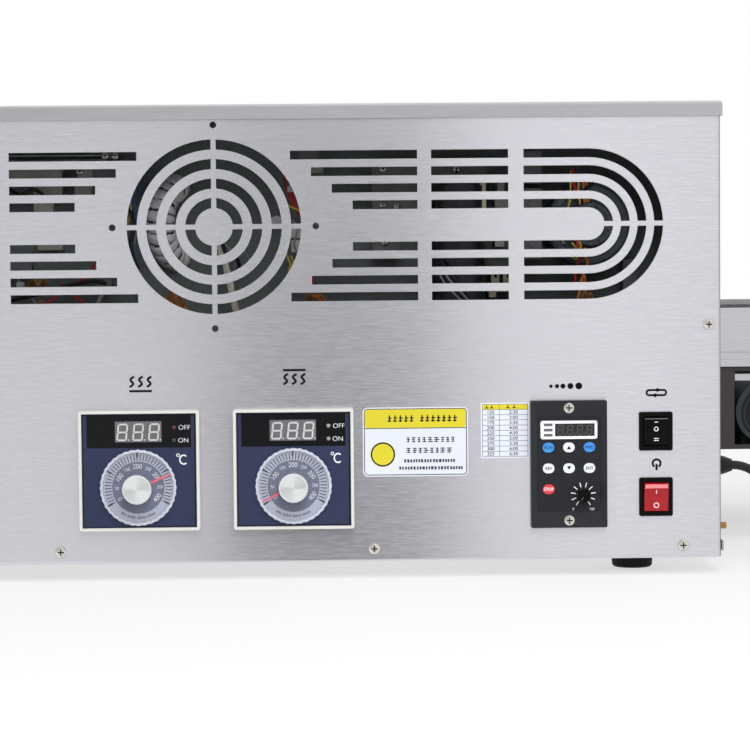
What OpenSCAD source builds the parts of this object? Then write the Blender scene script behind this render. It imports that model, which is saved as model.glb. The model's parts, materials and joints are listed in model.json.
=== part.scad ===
// Benchtop reflow oven with a mesh-belt conveyor through a heated tunnel.
// X runs along the front panel, Y from front to back, Z up.
// The origin is the middle of the footprint, on the floor.

/* [Case] */
// Width of the case across the front panel
body_w = 809.2; // [760:0.4:900]
// Depth from the front panel's face to the rear cover's face
body_d = 620; // [600:5:720]
// Height of the front panel
body_h = 365; // [355:1:400]
// Thickness of the outer sheets
sheet_t = 1.5; // [1.2:0.1:2]
// Outside radius of the folded edges
bend_r = 2.6; // [2.2:0.1:4]
// Depth of the return folded all round the front panel and the rear cover
hem = 10; // [6:1:14]
// Width of the inward flanges of the end panels
end_flange = 20; // [17:1:24]
// Height of the panel's lower edge above the floor
foot_h = 14; // [10:1:24]
// Radius of a rubber foot
foot_r = 18; // [12:1:22]
// Distance of each foot's centre from the case's end
foot_inset = 64; // [40:2:90]
// Height of the base floor above the panel's lower edge
base_lift = 4; // [3:0.5:6]
// How far the base pan's side hems stand out past the panel
base_out = 4; // [2:0.5:6]
// Depth of the control bay, from the panel's face to the bulkhead
bay_d = 140; // [130:2:146]
// Gap left where two sheets lie beside each other
seam = 0.3; // [0.2:0.05:0.5]

/* [Front grille] */
// Height of the grille's centre above the panel's lower edge
grille_h = 269.2; // [266:0.2:274]
// Inner radius of the smallest ring slot
ring_r = 15; // [12:0.5:17]
// Width of a ring slot
ring_w = 8; // [6:0.5:9]
// Distance from one ring slot to the next
ring_pitch = 15.5; // [14.5:0.1:15.5]
// Number of ring slots
ring_count = 4; // [2:1:4]
// Width of the bars that cross the ring slots
grille_bar = 4; // [3:0.5:6]
// Diameter of the circle of fan screw holes
fan_pcd = 162; // [158:1:164]
// Radius of a fan screw hole
fan_hole_r = 2.7; // [2:0.1:3]
// Height of a straight vent slot
slot_h = 7; // [5:0.5:8]
// Distance from one vent slot to the next
slot_pitch = 13.32; // [12:0.02:13.5]
// Height of the first slot's edge above the grille's centre line
slot_start = 13.05; // [12:0.05:14]
// How far each inner slot stops short of the outer one beside the rings
slot_step = 16.5; // [16:0.1:17]
// Radius of a pan head screw's head
screw_head_r = 4.6; // [4:0.1:5]

/* [Temperature controllers] */
// Side of a controller's square bezel
ctrl_side = 96; // [94:0.5:98]
// How far the bezel stands out of the panel
ctrl_out = 10; // [8:0.5:12]
// Distance between the two controllers' centres
ctrl_gap = 123; // [118:1:128]
// Height of the controllers' centres above the panel's lower edge
ctrl_h = 75.7; // [74:0.2:78]
// Radius of the dial's skirt
dial_r = 30.6; // [28:0.2:32]
// Radius of the dial's metal knob
dial_knob_r = 12; // [10:0.5:14]
// How far the knob stands out of the bezel
dial_out = 18; // [12:0.5:24]

/* [Speed controller] */
// Width of the speed controller's frame
speed_w = 61; // [60:0.5:62]
// Height of the speed controller's frame
speed_h = 102; // [101:0.5:104]
// Distance of the frame's centre from the case's end
speed_inset = 122.6; // [120.6:0.2:124.6]
// Height of the frame's centre above the panel's lower edge
speed_up = 77; // [74:0.5:80]
// How far the frame stands out of the panel
speed_out = 6; // [5.6:0.1:7]
// How far the dished frame drops to its face plate
speed_dish = 2.4; // [1.8:0.1:2.4]
// Width of a key
key_w = 9.2; // [8.6:0.1:9.8]
// Height of a key
key_h = 7.8; // [7:0.1:8.4]
// Travel of a key
key_travel = 0.5; // [0.4:0.1:0.6]
// Radius of the speed knob
speed_knob_r = 6; // [5:0.25:7]

/* [Rocker switches] */
// Distance of the switches from the case's end
switch_inset = 52.4; // [48.6:0.2:54.6]
// Height of the direction switch above the panel's lower edge
direction_h = 102.5; // [100:0.5:105]
// Height of the power switch above the panel's lower edge
power_h = 49.7; // [46.7:0.5:52.7]
// Width of a switch bezel
switch_w = 27; // [26:0.5:29]
// Height of a switch bezel
switch_h = 31; // [30:0.5:33]
// Width of a rocker
rocker_w = 19.3; // [18:0.1:19.6]
// Height of a rocker
rocker_h = 23; // [21:0.2:23.6]
// Angle that a rocker tilts to either side
rocker_tilt = 10; // [6:1:12]

/* [Heating tunnel] */
// Gap from each side rail's face to the chamber's inner wall
chamber_side = 22; // [17:1:27]
// Inside height of the chamber's floor above the panel's lower edge
chamber_h0 = 95; // [90:1:100]
// Inside height of the chamber's roof above the panel's lower edge
chamber_h1 = 312; // [308:1:320]
// Thickness of the chamber's inner sheets
liner_t = 1.2; // [1:0.1:1.5]
// Thickness of the insulation round the chamber
ins_t = 25; // [15:1:27]
// Free height of the tunnel above the belt's side rails
tunnel_clear = 66; // [50:1:70]
// Radius of a heater tube
heater_r = 5; // [4:0.5:7]
// Distance from one heater tube to the next
heater_pitch = 95; // [70:5:100]
// Number of heater tubes above and below the belt
heater_count = 5; // [3:1:5]
// Distance of the two circulation fans from the middle of the case
fan_x = 307; // [305:1:312]
// Radius of a fan's impeller
impeller_r = 36; // [28:1:36]

/* [Conveyor] */
// How far the side rails reach out of the case at each end
conveyor_out = 211.4; // [186.4:1:245.4]
// Distance of the far rail's face from the rear cover's face
rear_gap = 64; // [60:1:70]
// Depth of the near rail's face behind the panel's face
conveyor_y = 200; // [198:1:204]
// Height of the rails' underside above the panel's lower edge
rail_h0 = 144; // [140:1:148]
// Height of a side rail
rail_h = 51.2; // [50:0.4:56]
// Thickness of a side rail
rail_t = 12; // [10:0.5:14]
// Distance of each edge of the mesh belt from the rail's face beside it
belt_side = 35; // [33:1:48]
// Thickness of the mesh belt
belt_t = 2.4; // [1.6:0.2:3]
// Number of openings along each run of the mesh belt
belt_cells = 12; // [8:2:12]
// Number of openings across the mesh belt
belt_lanes = 8; // [6:2:10]
// Width of the mesh belt's bars between openings
belt_bar = 8; // [6:0.5:9]
// Depth of the belt's surface below the rails' top edges
belt_drop = 4; // [3:0.5:6]
// Distance of the end rollers' axes from the rails' ends
roller_inset = 33; // [30:1:40]
// Radius of the roller shafts
shaft_r = 6; // [5:0.5:8]

/* [Belt drive] */
// Radius of the two drive pulleys
pulley_r = 17; // [14:0.5:18]
// Width of the drive belt
drive_w = 9; // [6:0.5:10]
// Thickness of the drive belt
drive_t = 3; // [2:0.5:3.5]
// Distance of the gear motor's axis from the case's end
motor_out = 74; // [70:1:80]
// Height of the gear motor's axis above the panel's lower edge
motor_h = 103; // [101:1:105]
// Radius of the gear motor
motor_r = 28; // [24:1:28]
// Length of the gear motor
motor_len = 96; // [80:2:120]
// Height of the drive box under the rails
box_h = 73; // [72:1:76]
// Distance of the drive box's window from the case's end
box_open = 45.5; // [40:0.5:60]

/* [Control bay] */
// Radius of the capacitor's can
cap_r = 20; // [16:1:22]
// Length of the capacitor's can
cap_len = 110; // [90:2:120]
// Depth of the capacitor's foot below the grille's centre line
cap_drop = 74; // [70:1:80]
// Depth of the capacitor's axis behind the panel's face
cap_d = 88; // [80:1:92]
// Radius of the foil duct
duct_r = 13; // [10:0.5:14]
// Radius of the foil duct's bend
duct_bend = 29; // [26:1:32]

/* [Mains lead] */
// Height of the cable gland's axis above the panel's lower edge
gland_h = 68; // [66:0.5:72]
// Depth of the cable gland's axis behind the panel's face
gland_y = 75; // [72:1:80]
// Radius of the mains cord
cord_r = 3.7; // [3.4:0.1:4]

/* [Hidden] */
$fn = 48;
// Cuts run this far past the faces they open.
over = 1;
// Radial clearance of a shaft in its bearing.
run_fit = 0.05;
// Gap between a moving piece and what it passes.
move_gap = 0.3;
// Gap round a piece that is set into a pocket.
fit_gap = 0.1;

// Height above the floor of a height above the panel's lower edge.
function hz(h) = foot_h + h;
screw_head_h = 2.2;
front_reach = ctrl_out + dial_out;
rear_reach = screw_head_h;
// The origin is halfway between the foremost and the rearmost point.
face_y = (front_reach - body_d - rear_reach) / 2;
// Y of a depth behind the panel's face; a height over the face is a negative depth.
function fy(d) = face_y + d;

// Case
foot_round = 1.5;
end_x = body_w / 2 - sheet_t - seam;
end_in = end_x - sheet_t;
skin_d0 = sheet_t + seam;
skin_d1 = body_d - skin_d0;
base_z = hz(base_lift);
floor_z = base_z + sheet_t;
end_top = hz(body_h) - sheet_t - seam;
lid_over = sheet_t + seam;
lid_lip = 12;
base_flange = 25;
base_hem = 8;
flange_x = end_x - end_flange - over;
screw_r = 2;
screw_hole_r = 2.2;
screw_len = 9;
cross_len = 5.2;
cross_w = 1;
cross_d = 1.1;
// Screws round the panels' rims: height of the bottom row, and places of the others.
rim_inset = 10.2;
rim_side = 9.4;
bottom_screw_x = [125.5, body_w / 2 - 30.4];
side_screw_drop = 81.3;
rim_x = body_w / 2 - rim_side;
rear_screw_h = [40, 200, 330];
lid_screw_d = [110, 310, 510];
vent_w = 6;
vent_len = 60;
lid_vent_d = [330, 420];
lid_vent_pitch = 60;
rear_vent_h = [100, 250];
rear_vent_pitch = 50;
lid_screw_z = hz(body_h) + sheet_t - lid_lip + screw_head_r + fit_gap;

// Front grille
grille_z = hz(grille_h);
slot_rows = 4;
slot_a = [61, 162.3];
slot_b = [173.4, 234.9];
slot_c = [247.2, 298.7];

// Controllers
ctrl_z = hz(ctrl_h);
ctrl_x = ctrl_gap / 2;
ctrl_rim = 2.4;
ctrl_round = 2;
ctrl_body = ctrl_side - 5.4;
ctrl_body_d = 72;
ctrl_recess = 1.5;
ctrl_wall = 3.5;
ctrl_back = 1.5;
face_t = 2;
face_out = ctrl_out - ctrl_recess;
cut_gap = 0.4;
dial_drop = 13.4;
dial_z = ctrl_z - dial_drop;
dial_dx = [-0.9, -0.2];
skirt_t = 2.4;
skirt_gap = 0.4;
dial_shaft_r = 3;
dial_shaft_in = 8;

// Speed controller
speed_x = body_w / 2 - speed_inset;
speed_z = hz(speed_up);
speed_body_w = 54;
speed_body_h = 77;
speed_body_d = 55;
speed_screw_dz = speed_h / 2 - 5.8;
speed_screw_len = 12;
panel_w = 50.6;
panel_h = 76;
panel_t = 1.6;
speed_rim = 1.4;
speed_round = 1.2;
speed_wall = 2;
// Thickness of the solid back behind the face plate.
speed_back = 6;
panel_out = speed_out - speed_dish;
speed_seat = panel_out + 1.2;
key_flange_t = 0.8;
key_rim = 0.9;
key_proud = 0.6;
// Depth of the key rims' fronts, and of the pocket's floor behind the keys' travel.
key_back = -panel_out + panel_t + move_gap;
key_floor = key_back + key_flange_t + key_travel + move_gap;
key_dx = 16.4;
key_dz = 16.75;
key_top = 13.4;
key_round = key_h / 2 - 0.05;
window_w = 31.8;
window_h = 10.1;
window_x = 4.8;
window_z = 27.4;
window_d = 0.6;
speed_knob_x = speed_x + 11.4;
speed_knob_z = speed_z - 24.8;
speed_knob_len = 9;
speed_shaft_r = 3;
KEYS = ["run_key", "raise_key", "forward_key", "reverse_key", "lower_key", "enter_key", "stop_key"];

// Rocker switches
switch_x = body_w / 2 - switch_inset;
direction_z = hz(direction_h);
power_z = hz(power_h);
bezel_out = 2;
bezel_round = 1.5;
switch_body_w = 22;
switch_body_h = 28;
switch_body_d = 26;
pivot_out = 0.6;
pivot_r = 1.2;
rocker_front = 4.2;
rocker_back = 4.6;
rocker_hollow = 1.2;
// Reach of the pivot pins to either side, into the housing's walls.
pin_reach = rocker_w / 2 + move_gap + 1;
well_d = 12;

// Conveyor
conveyor_len = body_w + 2 * conveyor_out;
conveyor_w = body_d - conveyor_y - rear_gap;
belt_w = conveyor_w - 2 * belt_side;
rail_z = hz(rail_h0);
rail_top = rail_z + rail_h;
near_d = conveyor_y;
far_d = conveyor_y + conveyor_w;
mid_y = fy(conveyor_y + conveyor_w / 2);
lip = 3;
lip_h = 6;
groove_h = [12, 13.2];
groove_d = 1.2;
belt_top = rail_top - belt_drop;
belt_bottom = rail_z + belt_drop;
belt_axis_z = (belt_top + belt_bottom) / 2;
belt_r = (belt_top - belt_bottom) / 2;
roller_r = belt_r - belt_t - move_gap;
roller_x = conveyor_len / 2 - roller_inset;
bearing_r = 13;
bar_r = 6;
bar_x = [-420, -140, 140, 420];
bearing_wall = 4;
bearing_fit = 0.05;
shaft_end = 4;

// Belt drive
box_past = 20;
motor_x = body_w / 2 + motor_out;
drive_rise = belt_axis_z - hz(motor_h);
drive_tilt = atan2(drive_rise, roller_x - motor_x);
drive_span = norm([drive_rise, roller_x - motor_x]);
drive_inset = 12;
drive_d = far_d - rail_t - drive_inset;
pulley_flange = 1.2;
pulley_lip = 2.5;
box_x1 = roller_x + box_past;
box_z = rail_z - box_h;
box_post = 12;
box_open_x = end_x + box_open;
box_sill = 4;
motor_d = near_d + 6;
motor_foot = 20;
motor_foot_ends = [20, 10];
motor_cup = 8;
motor_wall = 5;
jack_grip = 28;
jack_r = 5;

// Heating tunnel
chamber_w = conveyor_w + 2 * chamber_side;
split_z = rail_top;
chamber_d0 = conveyor_y - chamber_side;
chamber_x = end_in - ins_t;
tunnel_gap = 3;
tunnel_d0 = near_d - lip - tunnel_gap;
tunnel_d1 = far_d + lip + tunnel_gap;
tunnel_z1 = rail_top + tunnel_clear;
heater_low_h = chamber_h0 + 25;
heater_high_h = chamber_h1 - 22;
heater_end_r = 8;
heater_end_out = 4;
probe_r = 1.5;
probe_x = 48;
probe_low_h = 134;
probe_high_h = 274;
probe_d = [120, 260];
fan_shaft_r = 4;
fan_motor_r = 34;
fan_motor_d = 75;
fan_nose_r = 18;
fan_nose_d = 58;
impeller_d0 = chamber_d0 + 3;
impeller_t = 10;
impeller_hub_r = 9;
impeller_blade_t = 1.2;
impeller_disc_t = 1.25;
impeller_grip = 34;
hole_gap = 2;
probe_gap = 0.2;
probe_seat = 12;
probe_seat_r = 5;
stand_inset = 10;
stand_w = 40;

// Control bay
duct_x = -36;
duct_z = grille_z + 5;
duct_tilt = 28;
cap_x = 201;
cap_z0 = grille_z - cap_drop;
cap_z1 = cap_z0 + cap_len;
cap_neck = 4;
cap_plate_w = 48;
cap_plate_up = 18;
cap_arm_w = 16;
cap_arm_inset = 10;
plate_d = 2;
relay_x = 262;
relay_w = 16;
relay_h = 27;
relay_d = 44;
relay_rows = [-15, 17, 48];
relay_boss_r = 3.4;
relay_boss_h = 2;
// Start of each row of terminals along X, its number of terminals and its height.
terminal_rows = [[-168, 8, 186], [86, 7, 186], [226, 2, 222]];
terminal_w = 9.6;
terminal_d = 22;
terminal_tall = 18;
terminal_pitch = 10;

// Mains lead
gland_z = hz(gland_h);
gland_hole_r = 6.3;
gland_tip = end_x + 22.7;
gland_nut_r = 9;
gland_cap_r = 7.8;
gland_neck_r = 4.9;
gland_in = 12;
nut_t = 4;
coil_x = gland_tip + 89.5;
coil_r = 40;
coil_y = fy(gland_y) + coil_r + cord_r;
coil_z = 3 * cord_r;
coil_exit = 18.5;
relief_len = 31;
relief_r = [4.2, 6.5];
plug_len = 38;
plug_w = 27;
plug_round = 6;
blade_gap = 12.7;
blade_z = 4;
blade = [19, 1.5, 6.4];
pin_len = 21;
pin_r = 2.4;
pin_z = -6;
stud_d = 30;
stud_z = hz(22.5);
stud_r = 2.7;
stud_out = 10.7;
stud_in = 9;
stud_nut_r = 4.6;
stud_nut_t = 2.4;

// ---- Shared shapes ----

// A block between two corners.
module block(x, y, z) translate([x[0], y[0], z[0]]) cube([x[1] - x[0], y[1] - y[0], z[1] - z[0]]);

// A rod along Y from one depth to another.
module rod_y(x, d, z, r) translate([x, fy(d[0]), z]) rotate([-90, 0, 0]) cylinder(h = d[1] - d[0], r = r);

// A rod along X.
module rod_x(x, y, z, r) translate([x[0], y, z]) rotate([0, 90, 0]) cylinder(h = x[1] - x[0], r = r);

// A rod along Z.
module rod_z(x, y, z, r) translate([x, y, z[0]]) cylinder(h = z[1] - z[0], r = r);

// Places a flat outline, drawn as seen from the front, between two depths.
module as_front(d) translate([0, fy(d[1]), 0]) rotate([90, 0, 0]) linear_extrude(d[1] - d[0]) children();

// A rectangular slab and a round-cornered one, centred at a place seen from the front.
module slab(at, size, d) as_front(d) translate(at) square(size, center = true);
module soft_slab(at, size, r, d) as_front(d) translate(at) soft_square(size[0], size[1], r);

// A rectangle with round corners, centred.
module soft_square(w, h, r) {
    square([w - 2 * r, h], center = true);
    square([w, h - 2 * r], center = true);
    for (x = [-1, 1], y = [-1, 1]) translate([x * (w / 2 - r), y * (h / 2 - r)]) circle(r);
}

// The section of a folded sheet's outside: its two lower corners are round.
module bent_section(w, d, r) {
    translate([-w / 2, r]) square([w, d - r]);
    translate([-w / 2 + r, 0]) square([w - 2 * r, d]);
    for (x = [-1, 1]) translate([x * (w / 2 - r), r]) circle(r);
}

module bent_block(w, h, d, r) intersection() {
    rotate([90, 0, 0]) translate([0, 0, -h / 2]) linear_extrude(h) bent_section(w, d, r);
    rotate([90, 0, 90]) translate([0, 0, -w / 2]) linear_extrude(w) bent_section(h, d, r);
}

// A sheet folded up along its four edges: a shallow pan with its face at Z = 0.
module pan(w, h, d, t = sheet_t, r = bend_r) difference() {
    bent_block(w, h, d, r);
    translate([0, 0, t]) bent_block(w - 2 * t, h - 2 * t, d, r - t);
}

// A pan head screw with a cross recess, its head's seat at the origin and its shank along +Z.
module screw(shank = screw_len) difference() {
    rotate_extrude() polygon([
        [0, -screw_head_h], [screw_head_r * 0.55, -screw_head_h * 0.97],
        [screw_head_r * 0.86, -screw_head_h * 0.72], [screw_head_r, -screw_head_h * 0.3], [screw_head_r, 0],
        [screw_r, 0], [screw_r, shank], [0, shank]
    ]);
    for (a = [0, 90]) rotate(a) translate([0, 0, -screw_head_h])
        cube([cross_len, cross_w, 2 * cross_d], center = true);
}

// A tube swept along points, with rings square to the path.
module sweep(path, r, sides) {
    last = len(path) - 1;
    ring_at = function(i)
        let (
            t = unit(path[min(i + 1, last)] - path[max(i - 1, 0)]),
            u = unit(cross([0, 1, 0.001], t)),
            v = cross(t, u)
        )
        [for (k = [0:sides - 1]) path[i] + r * (cos(360 * k / sides) * u + sin(360 * k / sides) * v)];
    polyhedron(
        points = [for (i = [0:last]) each ring_at(i)],
        faces = [
            [for (k = [0:sides - 1]) k],
            [for (k = [sides - 1:-1:0]) last * sides + k],
            for (i = [0:last - 1], k = [0:sides - 1]) let (a = i * sides, b = a + sides, n = (k + 1) % sides)
                [a + k, b + k, b + n, a + n]
        ]
    );
}
function unit(v) = v / norm(v);

// A point on the smooth curve through four neighbouring route points.
function blend_point(a, b, c, d, t) =
    0.5 * (2 * b + (c - a) * t + (2 * a - 5 * b + 4 * c - d) * t * t + (3 * b - a - 3 * c + d) * t * t * t);
function smooth(p, n) = let (m = len(p) - 1) [
    for (i = [0:m - 1], k = [0:n - 1]) blend_point(p[max(i - 1, 0)], p[i], p[i + 1], p[min(i + 2, m)], k / n),
    p[m]
];

// ---- Case ----

// One quarter of the straight slots on one side of the rings.
module slot_quarter() for (row = [0:slot_rows - 1]) {
    z = slot_start + row * slot_pitch;
    start = slot_a[0] + (slot_rows - 1 - row) * slot_step;
    translate([start, z]) square([slot_a[1] - start, slot_h]);
    translate([slot_b[0], z]) square([slot_b[1] - slot_b[0], slot_h]);
    translate([slot_c[0], z]) square([slot_c[1] - slot_c[0], slot_h]);
    translate([slot_c[1], 0]) intersection() {
        difference() {
            circle(z + slot_h, $fn = 96);
            circle(z, $fn = 96);
        }
        translate([0, grille_bar / 2]) square([z + slot_h, z + slot_h]);
    }
}

module ring_slots() difference() {
    for (i = [0:ring_count - 1]) difference() {
        circle(ring_r + i * ring_pitch + ring_w, $fn = 96);
        circle(ring_r + i * ring_pitch, $fn = 96);
    }
    square([fan_pcd, grille_bar], center = true);
    square([grille_bar, fan_pcd], center = true);
}

module front_openings() {
    translate([0, grille_z]) {
        ring_slots();
        for (a = [0:90:270]) rotate(a) translate([fan_pcd / 2, 0]) circle(fan_hole_r);
        for (x = [0, 1], z = [0, 1]) mirror([x, 0]) mirror([0, z]) slot_quarter();
    }
    for (side = [-1, 1]) translate([side * ctrl_x, ctrl_z]) square(ctrl_body + 2 * cut_gap, center = true);
    translate([speed_x, speed_z])
        square([speed_body_w + 2 * cut_gap, speed_body_h + 2 * cut_gap], center = true);
    for (z = [-1, 1]) translate([speed_x, speed_z + z * speed_screw_dz]) circle(screw_hole_r);
    for (z = [direction_z, power_z]) translate([switch_x, z])
        square([switch_body_w + 2 * cut_gap, switch_body_h + 2 * cut_gap], center = true);
    rim_screws() circle(screw_hole_r);
}

// Places its child at each screw round the panel's rim.
module rim_screws() {
    for (x = bottom_screw_x, side = [-1, 1]) translate([side * x, hz(rim_inset)]) children();
    for (side = [-1, 1]) translate([side * rim_x, grille_z - side_screw_drop]) children();
}

module front_panel() color([0.80, 0.80, 0.81]) difference() {
    translate([0, face_y, hz(body_h / 2)]) rotate([-90, 0, 0]) pan(body_w, body_h, hem);
    as_front([-over, sheet_t + over]) front_openings();
}

// Places its child at each screw of the rear cover.
module rear_screws() for (side = [-1, 1], h = rear_screw_h) translate([side * rim_x, hz(h)]) children();

module screws() color([0.85, 0.85, 0.83]) {
    translate([0, face_y, 0]) rotate([90, 0, 0]) rim_screws() mirror([0, 0, 1]) screw();
    for (z = [-1, 1]) translate([speed_x, fy(-speed_seat), speed_z + z * speed_screw_dz])
        rotate([-90, 0, 0]) screw(speed_screw_len);
    translate([0, fy(body_d), 0]) rotate([90, 0, 0]) rear_screws() screw();
    for (side = [-1, 1], d = lid_screw_d) translate([side * (body_w / 2 + lid_over), fy(d), lid_screw_z])
        rotate([0, -side * 90, 0]) screw();
}

module base_pan() color([0.62, 0.63, 0.64]) difference() {
    union() {
        block([-end_x, end_x], [fy(skin_d0), fy(skin_d1)], [base_z, floor_z]);
        for (d = [skin_d0, skin_d1 - sheet_t])
            block([-flange_x, flange_x], [fy(d), fy(d + sheet_t)], [base_z, base_z + base_flange]);
        for (side = [0, 1]) mirror([side, 0, 0]) {
            outer = body_w / 2 + base_out;
            long = [fy(hem + over), fy(body_d - hem - over)];
            block([end_x - over, outer], long, [base_z, floor_z]);
            block([outer - sheet_t, outer], long, [base_z, base_z + base_hem]);
        }
    }
    as_front([0, hem]) for (x = bottom_screw_x, side = [-1, 1]) translate([side * x, hz(rim_inset)])
        circle(screw_hole_r);
}

// The window that the conveyor and the boards pass through, as a block over a range of X.
module tunnel_cut(x) block(x, [fy(tunnel_d0), fy(tunnel_d1)], [rail_z, tunnel_z1]);

// The right end panel without the lead's and the stud's holes.
module end_panel() difference() {
    h = end_top - floor_z;
    translate([end_x, fy(body_d / 2), floor_z + h / 2]) rotate([0, -90, 0])
        pan(h, skin_d1 - skin_d0, end_flange);
    tunnel_cut([end_in - over, end_x + over]);
    rod_y(rim_x, [skin_d0 - over, skin_d0 + sheet_t + over], grille_z - side_screw_drop, screw_hole_r);
    for (h = rear_screw_h) rod_y(rim_x, [skin_d1 - sheet_t - over, skin_d1 + over], hz(h), screw_hole_r);
    for (d = lid_screw_d) rod_x([end_in - over, end_x + over], fy(d), lid_screw_z, screw_hole_r);
}

module left_end_panel() color([0.74, 0.74, 0.75]) mirror([1, 0, 0]) end_panel();

module right_end_panel() color([0.74, 0.74, 0.75]) difference() {
    end_panel();
    rod_x([end_in - over, end_x + over], fy(gland_y), gland_z, gland_hole_r);
    rod_x([end_in - over, end_x + over], fy(stud_d), stud_z, stud_r + 0.1);
}

module top_cover() color([0.78, 0.78, 0.79]) difference() {
    translate([0, fy(body_d / 2), hz(body_h) + sheet_t]) mirror([0, 0, 1])
        pan(body_w + 2 * lid_over, body_d + 2 * lid_over, lid_lip);
    for (side = [-1, 1], d = lid_screw_d)
        rod_x([side * body_w / 2 - hem, side * body_w / 2 + hem], fy(d), lid_screw_z, screw_hole_r);
    for (x = [-4.5:4.5], d = lid_vent_d) translate([x * lid_vent_pitch, fy(d), hz(body_h) - over])
        block([-vent_w / 2, vent_w / 2], [0, vent_len], [0, sheet_t + 2 * over]);
}

module rear_cover() color([0.74, 0.74, 0.75]) difference() {
    translate([0, fy(body_d), hz(body_h / 2)]) rotate([90, 0, 0]) pan(body_w, body_h, hem);
    as_front([body_d - sheet_t - over, body_d + over]) {
        rear_screws() circle(screw_hole_r);
        for (x = [-5:5], h = rear_vent_h) translate([x * rear_vent_pitch, hz(h)])
            soft_square(vent_w, vent_len, vent_w / 2 - fit_gap);
    }
}

module feet() color([0.10, 0.10, 0.10]) for (side = [-1, 1], d = [foot_inset, body_d - foot_inset])
    translate([side * (body_w / 2 - foot_inset), fy(d), 0]) rotate_extrude() polygon([
        [0, 0], [foot_r - 2 * foot_round, 0], [foot_r - foot_round, foot_round], [foot_r, base_z], [0, base_z]
    ]);

// ---- Bulkhead and heating tunnel ----

module bulkhead() color([0.30, 0.32, 0.32]) difference() {
    through = [bay_d - over, bay_d + sheet_t + over];
    block([-end_in + seam, end_in - seam], [fy(bay_d), fy(bay_d + sheet_t)],
        [floor_z + sheet_t, end_top - sheet_t - seam]);
    for (side = [-1, 1]) rod_y(side * fan_x, through, grille_z, fan_shaft_r + hole_gap);
    for (h = [probe_low_h, probe_high_h]) rod_y(probe_x, through, hz(h), probe_r + probe_gap);
    for (h = [-1, 1]) rod_y(duct_x, through, duct_z + h * duct_bend, duct_r - hole_gap);
}

module chamber_stand() color([0.55, 0.56, 0.57])
for (d = [near_d + stand_inset, far_d - stand_inset - stand_w]) difference() {
    z1 = hz(chamber_h0) - ins_t;
    block([-chamber_x, chamber_x], [fy(d), fy(d + stand_w)], [floor_z, z1]);
    block([-chamber_x - over, chamber_x + over], [fy(d + sheet_t), fy(d + stand_w - sheet_t)],
        [floor_z + sheet_t, z1 - sheet_t]);
}

module heater_rods(h, r, d0, d1) for (i = [0:heater_count - 1])
    rod_y((i - (heater_count - 1) / 2) * heater_pitch, [d0, d1], hz(h), r);

// Holes for the heaters, fans and probes, of the given radius at the heaters.
module service_holes(r) {
    front = chamber_d0 - 2 * ins_t;
    for (h = [heater_low_h, heater_high_h]) heater_rods(h, r, front, chamber_d0 + chamber_w + 2 * ins_t);
    for (side = [-1, 1]) rod_y(side * fan_x, [front, chamber_d0 + over], grille_z, fan_shaft_r + hole_gap);
    for (h = [probe_low_h, probe_high_h])
        rod_y(probe_x, [front, chamber_d0 + over], hz(h), probe_r + probe_gap);
}

// The chamber's inside, grown by g.
module chamber_block(g) block([-chamber_x - g, chamber_x + g],
    [fy(chamber_d0 - g), fy(chamber_d0 + chamber_w + g)], [hz(chamber_h0) - g, hz(chamber_h1) + g]);

// A hollow box with a wall of thickness t outside the chamber's inside, grown by g.
module chamber_shell(t, g, z) difference() {
    chamber_block(g + t);
    chamber_block(g);
    tunnel_cut([-body_w / 2, body_w / 2]);
    block([-body_w / 2, body_w / 2], [fy(0), fy(body_d)], z);
}

module lower_chamber() color([0.72, 0.72, 0.72]) difference() {
    chamber_shell(liner_t, 0, [split_z, hz(body_h)]);
    service_holes(heater_r + move_gap);
}

module upper_chamber() color([0.72, 0.72, 0.72]) difference() {
    chamber_shell(liner_t, 0, [0, split_z]);
    service_holes(heater_r + move_gap);
}

module lower_insulation() color([0.90, 0.88, 0.80]) difference() {
    chamber_shell(ins_t - liner_t, liner_t, [split_z, hz(body_h)]);
    service_holes(heater_end_r + run_fit);
}

module upper_insulation() color([0.90, 0.88, 0.80]) difference() {
    chamber_shell(ins_t - liner_t, liner_t, [0, split_z]);
    service_holes(heater_end_r + run_fit);
}

// A row of heater tubes with a ceramic end sleeve in each insulation wall.
module heater_row(h) {
    heater_rods(h, heater_r, chamber_d0 - ins_t, chamber_d0 + chamber_w + ins_t);
    heater_rods(h, heater_end_r, chamber_d0 - ins_t - heater_end_out, chamber_d0 - liner_t);
    heater_rods(h, heater_end_r, chamber_d0 + chamber_w + liner_t, chamber_d0 + chamber_w + ins_t + 4);
}

module lower_heaters() color([0.85, 0.80, 0.74]) heater_row(heater_low_h);

module upper_heaters() color([0.85, 0.80, 0.74]) heater_row(heater_high_h);

module thermocouples() color([0.70, 0.70, 0.72]) for (h = [probe_low_h, probe_high_h]) {
    rod_y(probe_x, probe_d, hz(h), probe_r);
    rod_y(probe_x, [bay_d - probe_seat, bay_d], hz(h), probe_seat_r);
}

module fan_motors() color([0.45, 0.46, 0.48]) for (side = [-1, 1]) difference() {
    union() {
        rod_y(side * fan_x, [fan_motor_d, bay_d], grille_z, fan_motor_r);
        rod_y(side * fan_x, [fan_nose_d, fan_motor_d + over], grille_z, fan_nose_r);
    }
    rod_y(side * fan_x, [bay_d - impeller_grip - over, bay_d + over], grille_z, fan_shaft_r + run_fit);
}

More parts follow.
